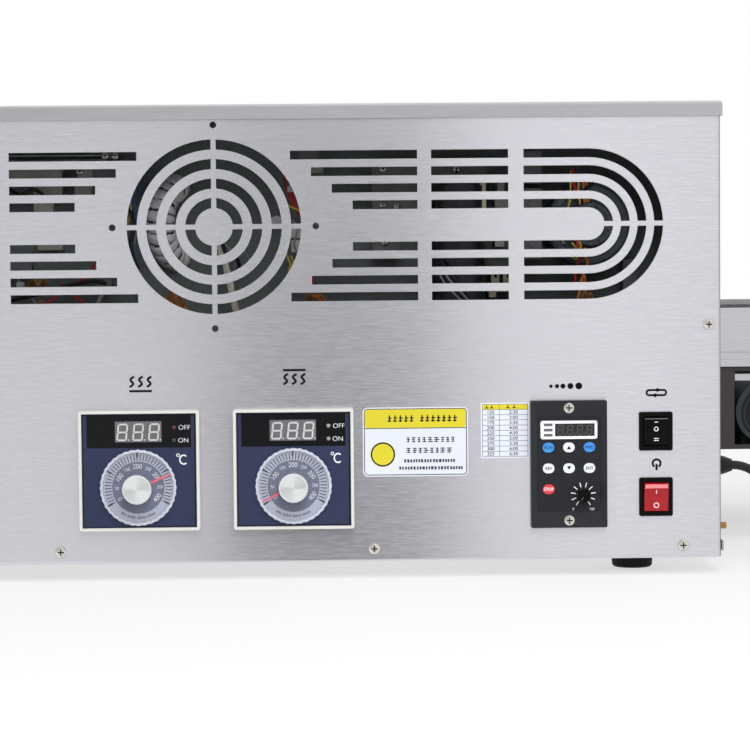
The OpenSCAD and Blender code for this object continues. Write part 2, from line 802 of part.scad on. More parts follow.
module impeller(side) color([0.66, 0.67, 0.69]) translate([side * fan_x, fy(impeller_d0), grille_z]) {
    tail = bay_d - impeller_grip - impeller_d0;
    rotate([-90, 0, 0]) rotate_extrude() polygon([
        [0, tail], [fan_shaft_r, tail], [fan_shaft_r, 0], [impeller_r, 0], [impeller_r, impeller_disc_t],
        [impeller_hub_r, impeller_disc_t], [impeller_hub_r, impeller_t], [0, impeller_t]
    ]);
    for (a = [0:45:315]) rotate([0, a, 0]) translate([0, 0, -impeller_blade_t / 2])
        block([impeller_hub_r - over, impeller_r - over], [impeller_disc_t / 2, impeller_t - over / 2],
            [0, impeller_blade_t]);
}

module left_impeller() impeller(-1);

module right_impeller() impeller(1);

// ---- Temperature controllers ----

module controller_case(side) color([0.90, 0.90, 0.84]) {
    at = [side * ctrl_x, ctrl_z];
    bezel = [ctrl_side, ctrl_side];
    body = [ctrl_body, ctrl_body];
    difference() {
        union() {
            soft_slab(at, bezel, ctrl_round, [-ctrl_out, 0]);
            slab(at, body, [-over, ctrl_body_d]);
        }
        slab(at, bezel - 2 * [ctrl_rim, ctrl_rim], [-ctrl_out - over, -face_out + face_t]);
        slab(at, body - 2 * [ctrl_wall, ctrl_wall], [-ctrl_out, ctrl_body_d - ctrl_back]);
    }
}

module controller_face(side) color([0.10, 0.14, 0.25]) difference() {
    w = ctrl_side - 2 * ctrl_rim - 2 * fit_gap;
    slab([side * ctrl_x, ctrl_z], [w, w], [-face_out, -face_out + face_t]);
    rod_y(dial_at(side), [-face_out - over, 0], dial_z, dial_shaft_r + run_fit);
}
function dial_at(side) = side * ctrl_x + dial_dx[(side + 1) / 2];

module controller_dial(side) color([0.80, 0.80, 0.80]) {
    x = dial_at(side);
    rod_y(x, [-face_out - skirt_gap - skirt_t, -face_out - skirt_gap], dial_z, dial_r);
    rod_y(x, [-ctrl_out - dial_out, -face_out - skirt_gap - skirt_t / 2], dial_z, dial_knob_r);
    rod_y(x, [-face_out - over, -face_out + dial_shaft_in], dial_z, dial_shaft_r);
}

module bottom_heat_case() controller_case(-1);

module bottom_heat_face() controller_face(-1);

module bottom_heat_dial() controller_dial(-1);

module top_heat_case() controller_case(1);

module top_heat_face() controller_face(1);

module top_heat_dial() controller_dial(1);

// ---- Speed controller ----

// The frame's dished front, which slopes in from its rim to the face plate.
module dish() translate([speed_x, face_y, speed_z]) intersection() {
    linear_extrude(speed_h, center = true) dish_section(panel_w / 2, speed_w / 2 - speed_rim);
    rotate([0, 90, 0]) linear_extrude(speed_w, center = true)
        dish_section(panel_h / 2, speed_h / 2 - speed_rim);
}

// Half widths at the face plate and at the rim.
module dish_section(inner, outer) polygon([
    [-inner, -panel_out], [inner, -panel_out], [outer, -speed_out], [outer, -speed_out - over],
    [-outer, -speed_out - over], [-outer, -speed_out]
]);

module speed_case() color([0.08, 0.08, 0.09]) difference() {
    at = [speed_x, speed_z];
    body = [speed_body_w, speed_body_h];
    union() {
        soft_slab(at, [speed_w, speed_h], speed_round, [-speed_out, 0]);
        slab(at, body, [-over, speed_body_d]);
    }
    dish();
    slab(at, [panel_w, panel_h] + 2 * [fit_gap, fit_gap], [-speed_out, key_floor]);
    for (side = [-1, 1]) {
        z = speed_z + side * speed_screw_dz;
        rod_y(speed_x, [-speed_out - over, over], z, screw_hole_r);
        rod_y(speed_x, [-speed_out - over, -speed_seat], z, screw_head_r + fit_gap);
    }
    rod_y(speed_knob_x, [-speed_out, 2 * speed_back], speed_knob_z, speed_shaft_r + 1);
    slab(at, body - 2 * [speed_wall, speed_wall], [speed_back, speed_body_d - ctrl_back]);
}

function key_x(i) = speed_x + (i % 3 - 1) * key_dx;
function key_z(i) = speed_z + key_top - floor(i / 3) * key_dz;

module speed_face() color([0.20, 0.20, 0.22]) difference() {
    slab([speed_x, speed_z], [panel_w, panel_h], [-panel_out, -panel_out + panel_t]);
    for (i = [0:len(KEYS) - 1])
        soft_slab([key_x(i), key_z(i)], [key_w, key_h] + 2 * [move_gap, move_gap], key_round + move_gap,
            [-speed_out, 0]);
    rod_y(speed_knob_x, [-speed_out, 0], speed_knob_z, speed_shaft_r + run_fit);
    slab([speed_x + window_x, speed_z + window_z], [window_w, window_h],
        [-panel_out - over, -panel_out + window_d]);
}

// A key cap in the face's window, with a rim behind the face that keeps it in.
module key(i) color(i == 6 ? [0.85, 0.12, 0.1] : i == 0 || i == 2 ? [0.1, 0.45, 0.75] : [0.9, 0.91, 0.92]) {
    at = [key_x(i), key_z(i)];
    soft_slab(at, [key_w, key_h], key_round, [-panel_out - key_proud, key_back + key_flange_t / 2]);
    slab(at, [key_w, key_h] + 2 * [key_rim, key_rim], [key_back, key_back + key_flange_t]);
}

module speed_knob() color([0.06, 0.06, 0.06]) {
    back = -panel_out - skirt_gap;
    rod_y(speed_knob_x, [back - speed_knob_len, back], speed_knob_z, speed_knob_r);
    rod_y(speed_knob_x, [-panel_out - over, speed_back + hole_gap], speed_knob_z, speed_shaft_r);
}

// ---- Rocker switches ----

module switch_housing(z) color([0.07, 0.07, 0.07]) difference() {
    at = [switch_x, z];
    pins = [for (side = [-1, 1]) switch_x + side * (pin_reach + fit_gap)];
    union() {
        soft_slab(at, [switch_w, switch_h], bezel_round, [-bezel_out, 0]);
        slab(at, [switch_body_w, switch_body_h], [-over, switch_body_d]);
    }
    slab(at, [rocker_w, rocker_h] + 2 * [move_gap, move_gap], [-bezel_out - over, well_d]);
    rod_x(pins, fy(-pivot_out), z, pivot_r + run_fit);
}

// A rocker with a shallow hollow face, its ends rounded about its pivot.
module rocker(z, tilt) translate([switch_x, fy(-pivot_out), z]) rotate([tilt, 0, 0]) {
    rotate([0, 90, 0]) rotate(180) translate([0, 0, -rocker_w / 2]) linear_extrude(rocker_w) intersection() {
        circle(rocker_h / 2, $fn = 96);
        polygon([
            [-rocker_h / 2, rocker_front], [0, rocker_front - rocker_hollow], [rocker_h / 2, rocker_front],
            [rocker_h / 2, -rocker_back / 2], [rocker_h / 4, -rocker_back], [-rocker_h / 4, -rocker_back],
            [-rocker_h / 2, -rocker_back / 2]
        ]);
    }
    rotate([0, 90, 0]) translate([0, 0, -pin_reach]) cylinder(h = 2 * pin_reach, r = pivot_r);
}

module direction_switch() switch_housing(direction_z);

module direction_rocker() color([0.05, 0.05, 0.05]) rocker(direction_z, 0);

module power_switch() switch_housing(power_z);

module power_rocker() color([0.80, 0.08, 0.05]) rocker(power_z, rocker_tilt);

// ---- Conveyor ----

// Section of the near rail: X is the depth inward from its face, Y the height.
module rail_section() polygon([
    [0, rail_h], [0, groove_h[1]], [groove_d, groove_h[1]], [groove_d, groove_h[0]], [0, groove_h[0]],
    [0, lip_h], [-lip, lip_h], [-lip, 0], [rail_t, 0], [rail_t, rail_h]
]);

module rail() difference() {
    translate([-conveyor_len / 2, 0, 0]) rotate([90, 0, 90]) linear_extrude(conveyor_len) rail_section();
    for (side = [-1, 1]) translate([side * roller_x, 0, belt_axis_z - rail_z]) rotate([-90, 0, 0])
        translate([0, 0, -over]) cylinder(h = rail_t + 2 * over, r = bearing_r);
}

module near_rail() color([0.82, 0.82, 0.83]) translate([0, fy(near_d), rail_z]) rail();

module far_rail() color([0.82, 0.82, 0.83]) translate([0, fy(far_d), rail_z]) mirror([0, 1, 0]) rail();

module cross_bars() color([0.70, 0.71, 0.72])
    for (x = bar_x) rod_y(x, [near_d + rail_t, far_d - rail_t], belt_axis_z, bar_r);

// Outline of the belt loop, grown inward by t.
module loop_outline(t) {
    square([2 * roller_x, 2 * (belt_r - t)], center = true);
    for (side = [-1, 1]) translate([side * roller_x, 0]) circle(belt_r - t, $fn = 96);
}

// The belt loop with a plain grid of openings cut down through both of its runs.
module mesh_belt() color([0.45, 0.45, 0.46]) difference() {
    cell = [2 * roller_x / belt_cells, belt_w / belt_lanes];
    translate([0, mid_y + belt_w / 2, belt_axis_z]) rotate([90, 0, 0])
        linear_extrude(belt_w) difference() {
            loop_outline(0);
            loop_outline(belt_t);
        }
    for (i = [0:belt_cells - 1], j = [0:belt_lanes - 1])
        translate([i * cell[0] - roller_x + belt_bar / 2, mid_y + j * cell[1] - (belt_w - belt_bar) / 2,
            belt_bottom - over])
            cube([cell[0] - belt_bar, cell[1] - belt_bar, belt_top - belt_bottom + 2 * over]);
}

module roller(x) {
    rod_y(x, [near_d - shaft_end, far_d + shaft_end], belt_axis_z, shaft_r);
    translate([x, mid_y - belt_w / 2, belt_axis_z]) rotate([-90, 0, 0]) cylinder(h = belt_w, r = roller_r);
}

// A pulley with a flange on each side of the drive belt.
module pulley(x, z) translate([x, fy(drive_d), z]) rotate([-90, 0, 0]) rotate_extrude() {
    inside = drive_w / 2 + move_gap;
    outside = inside + pulley_flange;
    rim = pulley_r + pulley_lip;
    polygon([
        [0, -outside], [rim, -outside], [rim, -inside], [pulley_r, -inside],
        [pulley_r, inside], [rim, inside], [rim, outside], [0, outside]
    ]);
}

module drive_roller() color([0.30, 0.30, 0.31]) {
    roller(roller_x);
    pulley(roller_x, belt_axis_z);
}

module idler_roller() color([0.30, 0.30, 0.31]) roller(-roller_x);

module bearings() color([0.60, 0.61, 0.62]) for (x = [-roller_x, roller_x], far = [0, 1]) {
    d = far == 0 ? near_d : far_d - rail_t;
    flange = far == 0 ? near_d - lip : far_d;
    difference() {
        union() {
            rod_y(x, [d, d + rail_t], belt_axis_z, bearing_r - bearing_fit);
            rod_y(x, [flange, flange + lip], belt_axis_z, bearing_r + bearing_wall);
        }
        rod_y(x, [near_d - bearing_r, far_d + bearing_r], belt_axis_z, shaft_r + run_fit);
    }
}

// ---- Belt drive ----

// A folded tray under the rails, open at the top and with a window in front.
module drive_box() color([0.50, 0.51, 0.52]) difference() {
    block([end_x, box_x1], [fy(near_d), fy(far_d)], [box_z, rail_z]);
    block([end_x + sheet_t, box_x1 - sheet_t], [fy(near_d + sheet_t), fy(far_d - sheet_t)],
        [box_z + sheet_t, rail_z + over]);
    block([box_open_x, box_x1 - box_post], [fy(near_d - over), fy(near_d + sheet_t + over)],
        [box_z + box_sill, rail_z - box_sill]);
    rod_y(motor_x, [far_d - sheet_t - over, far_d + over], hz(motor_h), jack_r + run_fit);
}

module gear_motor() color([0.20, 0.23, 0.23]) difference() {
    back = motor_d + motor_len;
    union() {
        rod_y(motor_x, [motor_d, back], hz(motor_h), motor_r);
        block([motor_x - motor_foot, motor_x + motor_foot],
            [fy(motor_d + motor_foot_ends[0]), fy(back - motor_foot_ends[1])],
            [box_z + sheet_t, hz(motor_h)]);
    }
    rod_y(motor_x, [motor_d - over, motor_d + motor_cup], hz(motor_h), motor_r - motor_wall);
    rod_y(motor_x, [back - jack_grip - over, back + over], hz(motor_h), jack_r + run_fit);
}

module motor_pulley() color([0.45, 0.45, 0.46]) {
    rod_y(motor_x, [motor_d + motor_len - jack_grip, far_d], hz(motor_h), jack_r);
    pulley(motor_x, hz(motor_h));
}

// The drive belt's loop seen from the front, along X from the motor's axis, of half width w.
module drive_loop(w) {
    translate([0, -w]) square([drive_span, 2 * w]);
    for (x = [0, drive_span]) translate([x, 0]) circle(w, $fn = 96);
}

module drive_belt() color([0.12, 0.12, 0.12])
translate([motor_x, fy(drive_d), hz(motor_h)]) rotate([0, -drive_tilt, 0]) rotate([-90, 0, 0])
    linear_extrude(drive_w, center = true) difference() {
        drive_loop(pulley_r + move_gap + drive_t);
        drive_loop(pulley_r + move_gap);
    }

// ---- Control bay ----

// A flexible aluminium duct bent from one port of the bulkhead to the other, leaning to the left.
module foil_duct() color([0.80, 0.81, 0.83]) difference() {
    translate([duct_x, fy(bay_d), duct_z]) rotate([0, 0, -duct_tilt]) rotate([0, 90, 0])
        rotate_extrude() translate([duct_bend, 0]) circle(duct_r);
    slab([duct_x, duct_z], 4 * [duct_bend, duct_bend], [bay_d, bay_d + duct_bend + duct_r]);
}

// A capacitor can on an arm from its plate on the bulkhead.
module capacitor() color([0.10, 0.11, 0.12]) {
    y = fy(cap_d);
    rod_z(cap_x, y, [cap_z0, cap_z1 - cap_neck + 1], cap_r);
    rod_z(cap_x, y, [cap_z1 - cap_neck, cap_z1], cap_r - cap_neck);
    block([cap_x - cap_plate_w / 2, cap_x + cap_plate_w / 2], [fy(bay_d - plate_d), fy(bay_d)],
        [cap_z0, cap_z1 + cap_plate_up]);
    block([cap_x - cap_arm_w / 2, cap_x + cap_arm_w / 2], [y + cap_r - 3, fy(bay_d - plate_d / 2)],
        [cap_z0 + cap_arm_inset, cap_z1 - cap_arm_inset]);
}

// Solid-state relays in a column on the bulkhead, each with a screw boss.
module relays() color([0.62, 0.63, 0.64]) for (h = relay_rows) {
    front = bay_d - relay_d;
    slab([relay_x, grille_z + h], [relay_w, relay_h], [front, bay_d]);
    rod_y(relay_x, [front - relay_boss_h, front + 1], grille_z + h, relay_boss_r);
}

module terminal_row(x, n, h) for (i = [0:n - 1]) translate([x + i * terminal_pitch, fy(bay_d), hz(h)])
    block([0, terminal_w], [-terminal_d, 0], [-terminal_tall / 2, terminal_tall / 2]);

module terminal_blocks() color([0.88, 0.84, 0.70]) {
    for (row = terminal_rows) terminal_row(row[0], row[1], row[2]);
}

// ---- Mains lead and earth stud ----

// A gland screwed through the end panel, with a locknut inside.
module cable_gland() color([0.06, 0.06, 0.06]) difference() {
    reach = gland_tip - end_x;
    translate([end_x, fy(gland_y), gland_z]) rotate([0, 90, 0]) {
        cylinder(h = nut_t, r = gland_nut_r, $fn = 6);
        rotate_extrude() polygon([
            [0, 0], [gland_hole_r, 0], [gland_hole_r, nut_t + 1.5], [gland_cap_r, nut_t + 2],
            [gland_cap_r, reach * 0.66], [gland_hole_r, reach * 0.84], [gland_neck_r, reach], [0, reach]
        ]);
        translate([0, 0, -gland_in]) cylinder(h = gland_in + over / 2, r = gland_hole_r - run_fit);
        translate([0, 0, -sheet_t - nut_t]) cylinder(h = nut_t, r = gland_nut_r, $fn = 6);
    }
    rod_x([end_x - 2 * gland_in, gland_tip + over], fy(gland_y), gland_z, cord_r);
}

// An earth stud with a nut on either side of the end panel.
module ground_stud() color([0.80, 0.62, 0.28]) {
    rod_x([end_in - stud_in, end_x + stud_out], fy(stud_d), stud_z, stud_r);
    for (x = [end_x, end_in - nut_t]) translate([x, fy(stud_d), stud_z]) rotate([0, 90, 0])
        cylinder(h = x > end_in ? stud_nut_t : nut_t, r = stud_nut_r, $fn = 6);
}

// The lead's route from the gland down to the floor and on to the coil: how far it is out from the
// gland's tip, and its height as a share of the gland's height.
cord_route = [
    [0, 1], [5.5, 0.995], [12.5, 0.969], [19.5, 0.917], [25.5, 0.847], [30.5, 0.757], [34, 0.642],
    [36, 0.515], [38, 0.387], [41.5, 0.266], [47, 0.151], [54, 0.068], [62.5, 0.019], [71, 0.001]
];

module mains_cord() color([0.05, 0.05, 0.05])
    sweep(smooth([
        for (p = cord_route) [gland_tip + p[0], fy(gland_y), cord_r + p[1] * (gland_z - cord_r)]
    ], 2), cord_r, 10);

module cord_coil() color([0.05, 0.05, 0.05]) translate([coil_x, coil_y, 0]) rotate_extrude($fn = 96)
    translate([coil_r - 2 * cord_r, 0]) square([4 * cord_r, 6 * cord_r]);

// A moulded plug with a tapered relief, two flat blades and a round pin.
module mains_plug() color([0.05, 0.05, 0.05])
translate([coil_x + coil_exit, coil_y - coil_r - cord_r, coil_z]) {
    front = relief_len + plug_len;
    rotate([0, 90, 0]) cylinder(h = relief_len, r1 = relief_r[0], r2 = relief_r[1]);
    translate([relief_len - over, 0, 0]) rotate([90, 0, 90]) linear_extrude(plug_len + over)
        soft_square(plug_w, 2 * coil_z, plug_round);
    for (y = [-1, 1]) translate([front - over, y * blade_gap / 2, blade_z])
        block([0, blade[0]], [-blade[1] / 2, blade[1] / 2], [-blade[2] / 2, blade[2] / 2]);
    translate([front - over, 0, pin_z]) rotate([0, 90, 0]) cylinder(h = pin_len, r = pin_r);
}

front_panel();
screws();
base_pan();
left_end_panel();
right_end_panel();
top_cover();
rear_cover();
bulkhead();
chamber_stand();
lower_chamber();
upper_chamber();
lower_insulation();
upper_insulation();
lower_heaters();
upper_heaters();
thermocouples();
fan_motors();
left_impeller();
right_impeller();
bottom_heat_case();
bottom_heat_face();
bottom_heat_dial();
top_heat_case();
top_heat_face();
top_heat_dial();
speed_case();
speed_face();
speed_knob();
key(0);  // run_key
key(1);  // raise_key
key(2);  // forward_key
key(3);  // reverse_key
key(4);  // lower_key
key(5);  // enter_key
key(6);  // stop_key
direction_switch();
direction_rocker();
power_switch();
power_rocker();
near_rail();
far_rail();
cross_bars();
mesh_belt();
drive_roller();
idler_roller();
bearings();
gear_motor();
motor_pulley();
drive_belt();
drive_box();
feet();
cable_gland();
ground_stud();
mains_cord();
cord_coil();
mains_plug();
capacitor();
relays();
terminal_blocks();
foil_duct();
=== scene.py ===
import json
import random
from math import copysign, cos, pi, radians, sin

import bpy
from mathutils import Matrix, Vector


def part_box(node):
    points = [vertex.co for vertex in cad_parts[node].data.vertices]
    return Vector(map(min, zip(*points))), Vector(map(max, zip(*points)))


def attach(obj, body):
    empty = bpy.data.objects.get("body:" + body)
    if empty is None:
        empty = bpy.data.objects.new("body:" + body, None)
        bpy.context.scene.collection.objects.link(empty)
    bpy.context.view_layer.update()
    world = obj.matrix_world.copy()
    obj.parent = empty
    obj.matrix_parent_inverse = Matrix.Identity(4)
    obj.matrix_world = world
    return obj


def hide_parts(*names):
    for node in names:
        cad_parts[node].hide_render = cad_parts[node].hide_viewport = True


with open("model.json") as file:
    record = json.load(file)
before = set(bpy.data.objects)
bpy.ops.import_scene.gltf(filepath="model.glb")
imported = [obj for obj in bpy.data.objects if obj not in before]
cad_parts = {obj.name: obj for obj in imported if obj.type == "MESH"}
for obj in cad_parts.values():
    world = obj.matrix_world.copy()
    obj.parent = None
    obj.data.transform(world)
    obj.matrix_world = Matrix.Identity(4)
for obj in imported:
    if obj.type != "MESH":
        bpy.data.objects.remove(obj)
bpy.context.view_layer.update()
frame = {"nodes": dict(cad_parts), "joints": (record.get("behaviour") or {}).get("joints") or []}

# Sizes are in millimetres and are turned into metres where a point is made.
MM = 0.001
NODES = frame["nodes"]
JOINT = {j["name"]: Vector(j["pos_m"]) / MM for j in frame["joints"] if "pos_m" in j}
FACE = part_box("front_panel")[0].y / MM
GRILLE = JOINT["left_impeller_spin"].z
SCENE = bpy.context.scene
random.seed(7)


def spot(x, z, d=0.0):
    """A point from X, the height over the grille's centre and the depth behind the panel's face."""
    return Vector((x * MM, (FACE + d) * MM, (GRILLE + z) * MM))


def point(x, y, z):
    return Vector((x, y, z)) * MM


def box_mm(node):
    low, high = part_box(node)
    return low / MM, high / MM


def centre_of(node):
    """X and the height over the grille's centre of the middle of a CAD node."""
    low, high = box_mm(node)
    return (low.x + high.x) / 2, (low.z + high.z) / 2 - GRILLE


def front_of(node):
    """The depth of a CAD node's foremost point."""
    return box_mm(node)[0].y - FACE


# ---- Camera: fitted to the photo as a pinhole ----

camera = bpy.data.objects.new("camera", bpy.data.cameras.new("camera"))
SCENE.collection.objects.link(camera)
camera.data.sensor_width = 36
camera.data.lens = 124.358
camera.data.clip_end = 50
camera.location = spot(78.969, -13.786, -2069.404)
camera.rotation_euler = [radians(a) for a in (87.07948, 0.51004, -1.36172)]
SCENE.camera = camera


# ---- Materials ----

def srgb(r, g, b):
    """A colour as the screen shows it, from 0 to 255, as linear light."""
    def linear(v):
        v /= 255
        return v / 12.92 if v <= 0.04045 else ((v + 0.055) / 1.055) ** 2.4
    return (linear(r), linear(g), linear(b), 1.0)


def scaled(colour, k):
    return tuple(min(1.0, max(0.0, c * k)) for c in colour[:3]) + (1.0,)


def mix_colour(nodes, links, factor, low, high):
    mix = nodes.new("ShaderNodeMix")
    mix.data_type = "RGBA"
    mix.inputs["A"].default_value = low
    mix.inputs["B"].default_value = high
    links.new(factor, mix.inputs["Factor"])
    return mix.outputs["Result"]


def spread(nodes, links, value, low, high, start=0.32, end=0.68):
    """Turns start to end into low to high. Without them it is the range that a noise spans."""
    node = nodes.new("ShaderNodeMapRange")
    node.inputs["From Min"].default_value = start
    node.inputs["From Max"].default_value = end
    node.inputs["To Min"].default_value = low
    node.inputs["To Max"].default_value = high
    links.new(value, node.inputs["Value"])
    return node.outputs["Result"]


def finish(name, colour, rough, metal=0.0, vary=0.05, grain=500.0, stretch=(1, 1, 1), relief=0.02,
           edge=0.0, blotch=0.05, blotch_size=9.0, rough_vary=0.05, brushed_about="Z", shine=0.5, **sockets):
    """A finish with fine grain, slow tone changes, uneven gloss and a bump. Grain is in features a metre."""
    made = bpy.data.materials.new(name)
    made.use_nodes = True
    nodes, links = made.node_tree.nodes, made.node_tree.links
    shader = nodes["Principled BSDF"]
    coords = nodes.new("ShaderNodeTexCoord")
    mapping = nodes.new("ShaderNodeMapping")
    mapping.inputs["Scale"].default_value = stretch
    links.new(coords.outputs["Object"], mapping.inputs["Vector"])
    noises = []
    for place, scale, detail in ((mapping.outputs["Vector"], grain, 3),
                                 (coords.outputs["Object"], blotch_size, 2)):
        noise = nodes.new("ShaderNodeTexNoise")
        noise.inputs["Scale"].default_value = scale
        noise.inputs["Detail"].default_value = detail
        links.new(place, noise.inputs["Vector"])
        noises.append(noise.outputs["Fac"])
    fine, broad = noises
    fine_tone = spread(nodes, links, fine, -vary, vary)
    broad_tone = spread(nodes, links, broad, -blotch, blotch)
    total = nodes.new("ShaderNodeMath")
    total.operation = "ADD"
    links.new(fine_tone, total.inputs[0])
    links.new(broad_tone, total.inputs[1])
    reach = vary + blotch + 1e-4
    factor = spread(nodes, links, total.outputs["Value"], 0, 1, -reach, reach)
    links.new(mix_colour(nodes, links, factor, scaled(colour, 1 - reach), scaled(colour, 1 + reach)),
              shader.inputs["Base Color"])
    links.new(spread(nodes, links, fine, max(0.02, rough - rough_vary), rough + rough_vary),
              shader.inputs["Roughness"])
    bump = nodes.new("ShaderNodeBump")
    bump.inputs["Strength"].default_value = 0.6
    bump.inputs["Distance"].default_value = relief * MM
    links.new(fine, bump.inputs["Height"])
    if edge:
        bevel = nodes.new("ShaderNodeBevel")
        bevel.samples = 4
        bevel.inputs["Radius"].default_value = edge * MM
        links.new(bevel.outputs["Normal"], bump.inputs["Normal"])
    links.new(bump.outputs["Normal"], shader.inputs["Normal"])
    shader.inputs["Metallic"].default_value = metal
    shader.inputs["Specular IOR Level"].default_value = shine
    if "Anisotropic" in sockets:
        tangent = nodes.new("ShaderNodeTangent")
        tangent.direction_type = "RADIAL"
        tangent.axis = brushed_about
        links.new(tangent.outputs["Tangent"], shader.inputs["Tangent"])
    for socket, value in sockets.items():
        shader.inputs[socket.replace("_", " ")].default_value = value
    return made


ALONG_X = (0.02, 1, 1)
ALONG_Y = (1, 0.02, 1)
SCRATCHED_X = (0.06, 1, 1)
MATERIAL = {}


def surface(name, colour, *facts, on="", **more):
    """Makes a finish from its colour as the screen shows it, and puts it on CAD nodes."""
    MATERIAL[name] = finish(name, srgb(*colour), *facts, **more)
    for node in on.split():
        NODES[node].data.materials.clear()
        NODES[node].data.materials.append(MATERIAL[name])


def inks(rough, vary, shine, **colours):
    """Makes smooth finishes that differ in colour, for print, lamps and display digits."""
    for name, colour in colours.items():
        surface(name, colour, rough, 0, vary, 1500, relief=0.004, shine=shine)


# After the colour stand roughness, metal, change of tone, grain, the grain's stretch, relief in mm,
# width of rounded edges in mm, blotches, blotches a metre and the change of roughness.
# Sheet metal and castings.
surface("brushed_stainless", (210, 210, 216), 0.2, 0.8, 0.05, 1900, SCRATCHED_X, 0.002, 0.5, 0.012, 5,
        0.03, Anisotropic=0.95, Anisotropic_Rotation=0.25, on="front_panel")
surface("satin_stainless", (200, 200, 203), 0.36, 1, 0.04, 900, ALONG_Y, 0.006, 0.5, 0.02, 5,
        on="left_end_panel right_end_panel")
surface("lid_stainless", (204, 204, 207), 0.34, 1, 0.04, 900, ALONG_X, 0.006, 0.5, 0.02, 5,
        on="top_cover rear_cover")
surface("chamber_steel", (186, 184, 180), 0.34, 1, 0.06, 700, ALONG_X, 0.01, 0.3, 0.08, 12,
        on="lower_chamber upper_chamber")
surface("probe_steel", (188, 188, 190), 0.3, 1, 0.06, 900, ALONG_Y, 0.01, on="thermocouples")
surface("rail_aluminium", (218, 217, 221), 0.32, 1, 0.05, 900, ALONG_X, 0.008, 0.4, on="near_rail far_rail")
surface("bar_steel", (176, 178, 182), 0.3, 1, 0.06, 900, ALONG_Y, 0.008, on="cross_bars")
surface("zinc_sheet", (176, 180, 184), 0.42, 1, 0.1, 120, relief=0.01, edge=0.4, blotch=0.1,
        blotch_size=40, on="base_pan chamber_stand")
surface("bulkhead_steel", (112, 120, 119), 0.62, 0.1, 0.10, 300, relief=0.03, on="bulkhead")
surface("motor_steel", (84, 92, 100), 0.4, 0.3, 0.12, 600, edge=0.5, on="fan_motors")
surface("nose_steel", (80, 85, 92), 0.3, 0.4, 0.3, 260, relief=0.06, edge=0.5)
surface("screw_steel", (226, 222, 214), 0.22, 1, 0.06, 1500, relief=0.01, edge=0.25, on="screws")
surface("impeller_aluminium", (190, 192, 196), 0.34, 1, 0.05, 900, relief=0.01,
        on="left_impeller right_impeller")
surface("roller_steel", (92, 92, 96), 0.38, 0.9, 0.12, 500, edge=0.3,
        on="drive_roller idler_roller motor_pulley")
surface("bearing_steel", (168, 170, 174), 0.26, 1, 0.05, 900, relief=0.01, edge=0.3, on="bearings")
surface("belt_mesh", (128, 128, 132), 0.34, 1, 0.12, 400)
surface("stud_brass", (176, 134, 74), 0.3, 1, 0.08, 900, edge=0.2, on="ground_stud")
surface("duct_foil", (250, 252, 255), 0.24, 0.1, 0.12, 150, relief=0.7, blotch=0.06, blotch_size=60)
surface("spun_aluminium", (246, 248, 251), 0.34, 1, 0.015, 900, relief=0.0015, edge=0.4, brushed_about="Y",
        Anisotropic=0.9)
# Paint, rubber and the oven's lining.
surface("motor_paint", (50, 57, 60), 0.5, 0.2, 0.08, 500, relief=0.03, edge=0.5, shine=0.3, on="gear_motor")
surface("box_paint", (64, 60, 62), 0.5, 0.1, 0.08, 900, relief=0.03, edge=0.5, shine=0.25, on="drive_box")
surface("drive_rubber", (34, 34, 36), 0.7, 0, 0.12, 1200, relief=0.05, edge=0.4, shine=0.2, on="drive_belt")
surface("foot_rubber", (28, 28, 29), 0.75, 0, 0.12, 1200, relief=0.05, edge=0.5, shine=0.2, on="feet")
surface("ceramic_wool", (232, 228, 212), 0.95, 0, 0.10, 900, relief=0.6, blotch=0.08,
        on="lower_insulation upper_insulation")
surface("heater_tube", (196, 186, 172), 0.5, 0, 0.12, 200, (1, 0.3, 1), 0.04,
        on="lower_heaters upper_heaters")
# Plastic.
surface("ivory_plastic", (212, 211, 204), 0.42, 0, 0.015, 1600, relief=0.012, edge=0.5, blotch=0.02,
        on="bottom_heat_case top_heat_case")
surface("navy_face", (46, 51, 78), 0.42, 0, 0.05, 2500, shine=0.2, on="bottom_heat_face top_heat_face")
surface("black_plastic", (34, 35, 39), 0.42, 0, 0.10, 1800, edge=0.45, shine=0.3, on="speed_case")
surface("grey_membrane", (34, 35, 39), 0.5, 0, 0.06, 2500, relief=0.015, shine=0.2, on="speed_face")
surface("blue_key", (58, 140, 214), 0.35, 0, 0.04, 2000, relief=0.01, edge=0.3, on="run_key forward_key")
surface("red_key", (214, 58, 68), 0.35, 0, 0.04, 2000, relief=0.01, edge=0.3, on="stop_key")
surface("white_key", (226, 228, 230), 0.35, 0, 0.02, 2000, relief=0.01, edge=0.3,
        on="raise_key reverse_key lower_key enter_key")
surface("black_rocker", (8, 8, 9), 0.28, 0, 0.08, 1800, relief=0.01, edge=0.5, shine=0.1,
        on="direction_rocker direction_switch power_switch")
surface("red_rocker", (158, 14, 24), 0.2, 0, 0.16, 500, relief=0.01, edge=0.5, Coat_Weight=0.2, shine=0.3,
        on="power_rocker")
# A painted highlight for the red rocker's top ledge.
surface("ledge_highlight_red", (236, 132, 136), 0.16, 0, 0.06, 900, relief=0.01, Coat_Weight=0.6)
surface("gland_nylon", (12, 12, 14), 0.22, 0, 0.1, 1500, edge=0.35, shine=0.3, on="cable_gland")
surface("cord_jacket", (24, 24, 27), 0.42, 0, 0.08, 1500, relief=0.03, shine=0.35)
surface("plug_plastic", (26, 26, 28), 0.5, 0, 0.08, 1500, relief=0.03, shine=0.3)
surface("capacitor_case", (44, 46, 52), 0.32, 0.1, 0.08, 900, edge=0.5, on="capacitor")
surface("relay_case", (132, 132, 136), 0.45, 0.2, 0.06, 900, edge=0.4, on="relays")
surface("terminal_plastic", (222, 212, 178), 0.5, 0, 0.05, 900, edge=0.3, on="terminal_blocks")
surface("clear_plastic", (214, 218, 232), 0.16, 0, 0.02, 900, relief=0.004, Alpha=0.06, shine=0.3)
surface("rim_plastic", (206, 209, 222), 0.2, 0, 0.10, 500, Alpha=0.8, Coat_Weight=0.3)
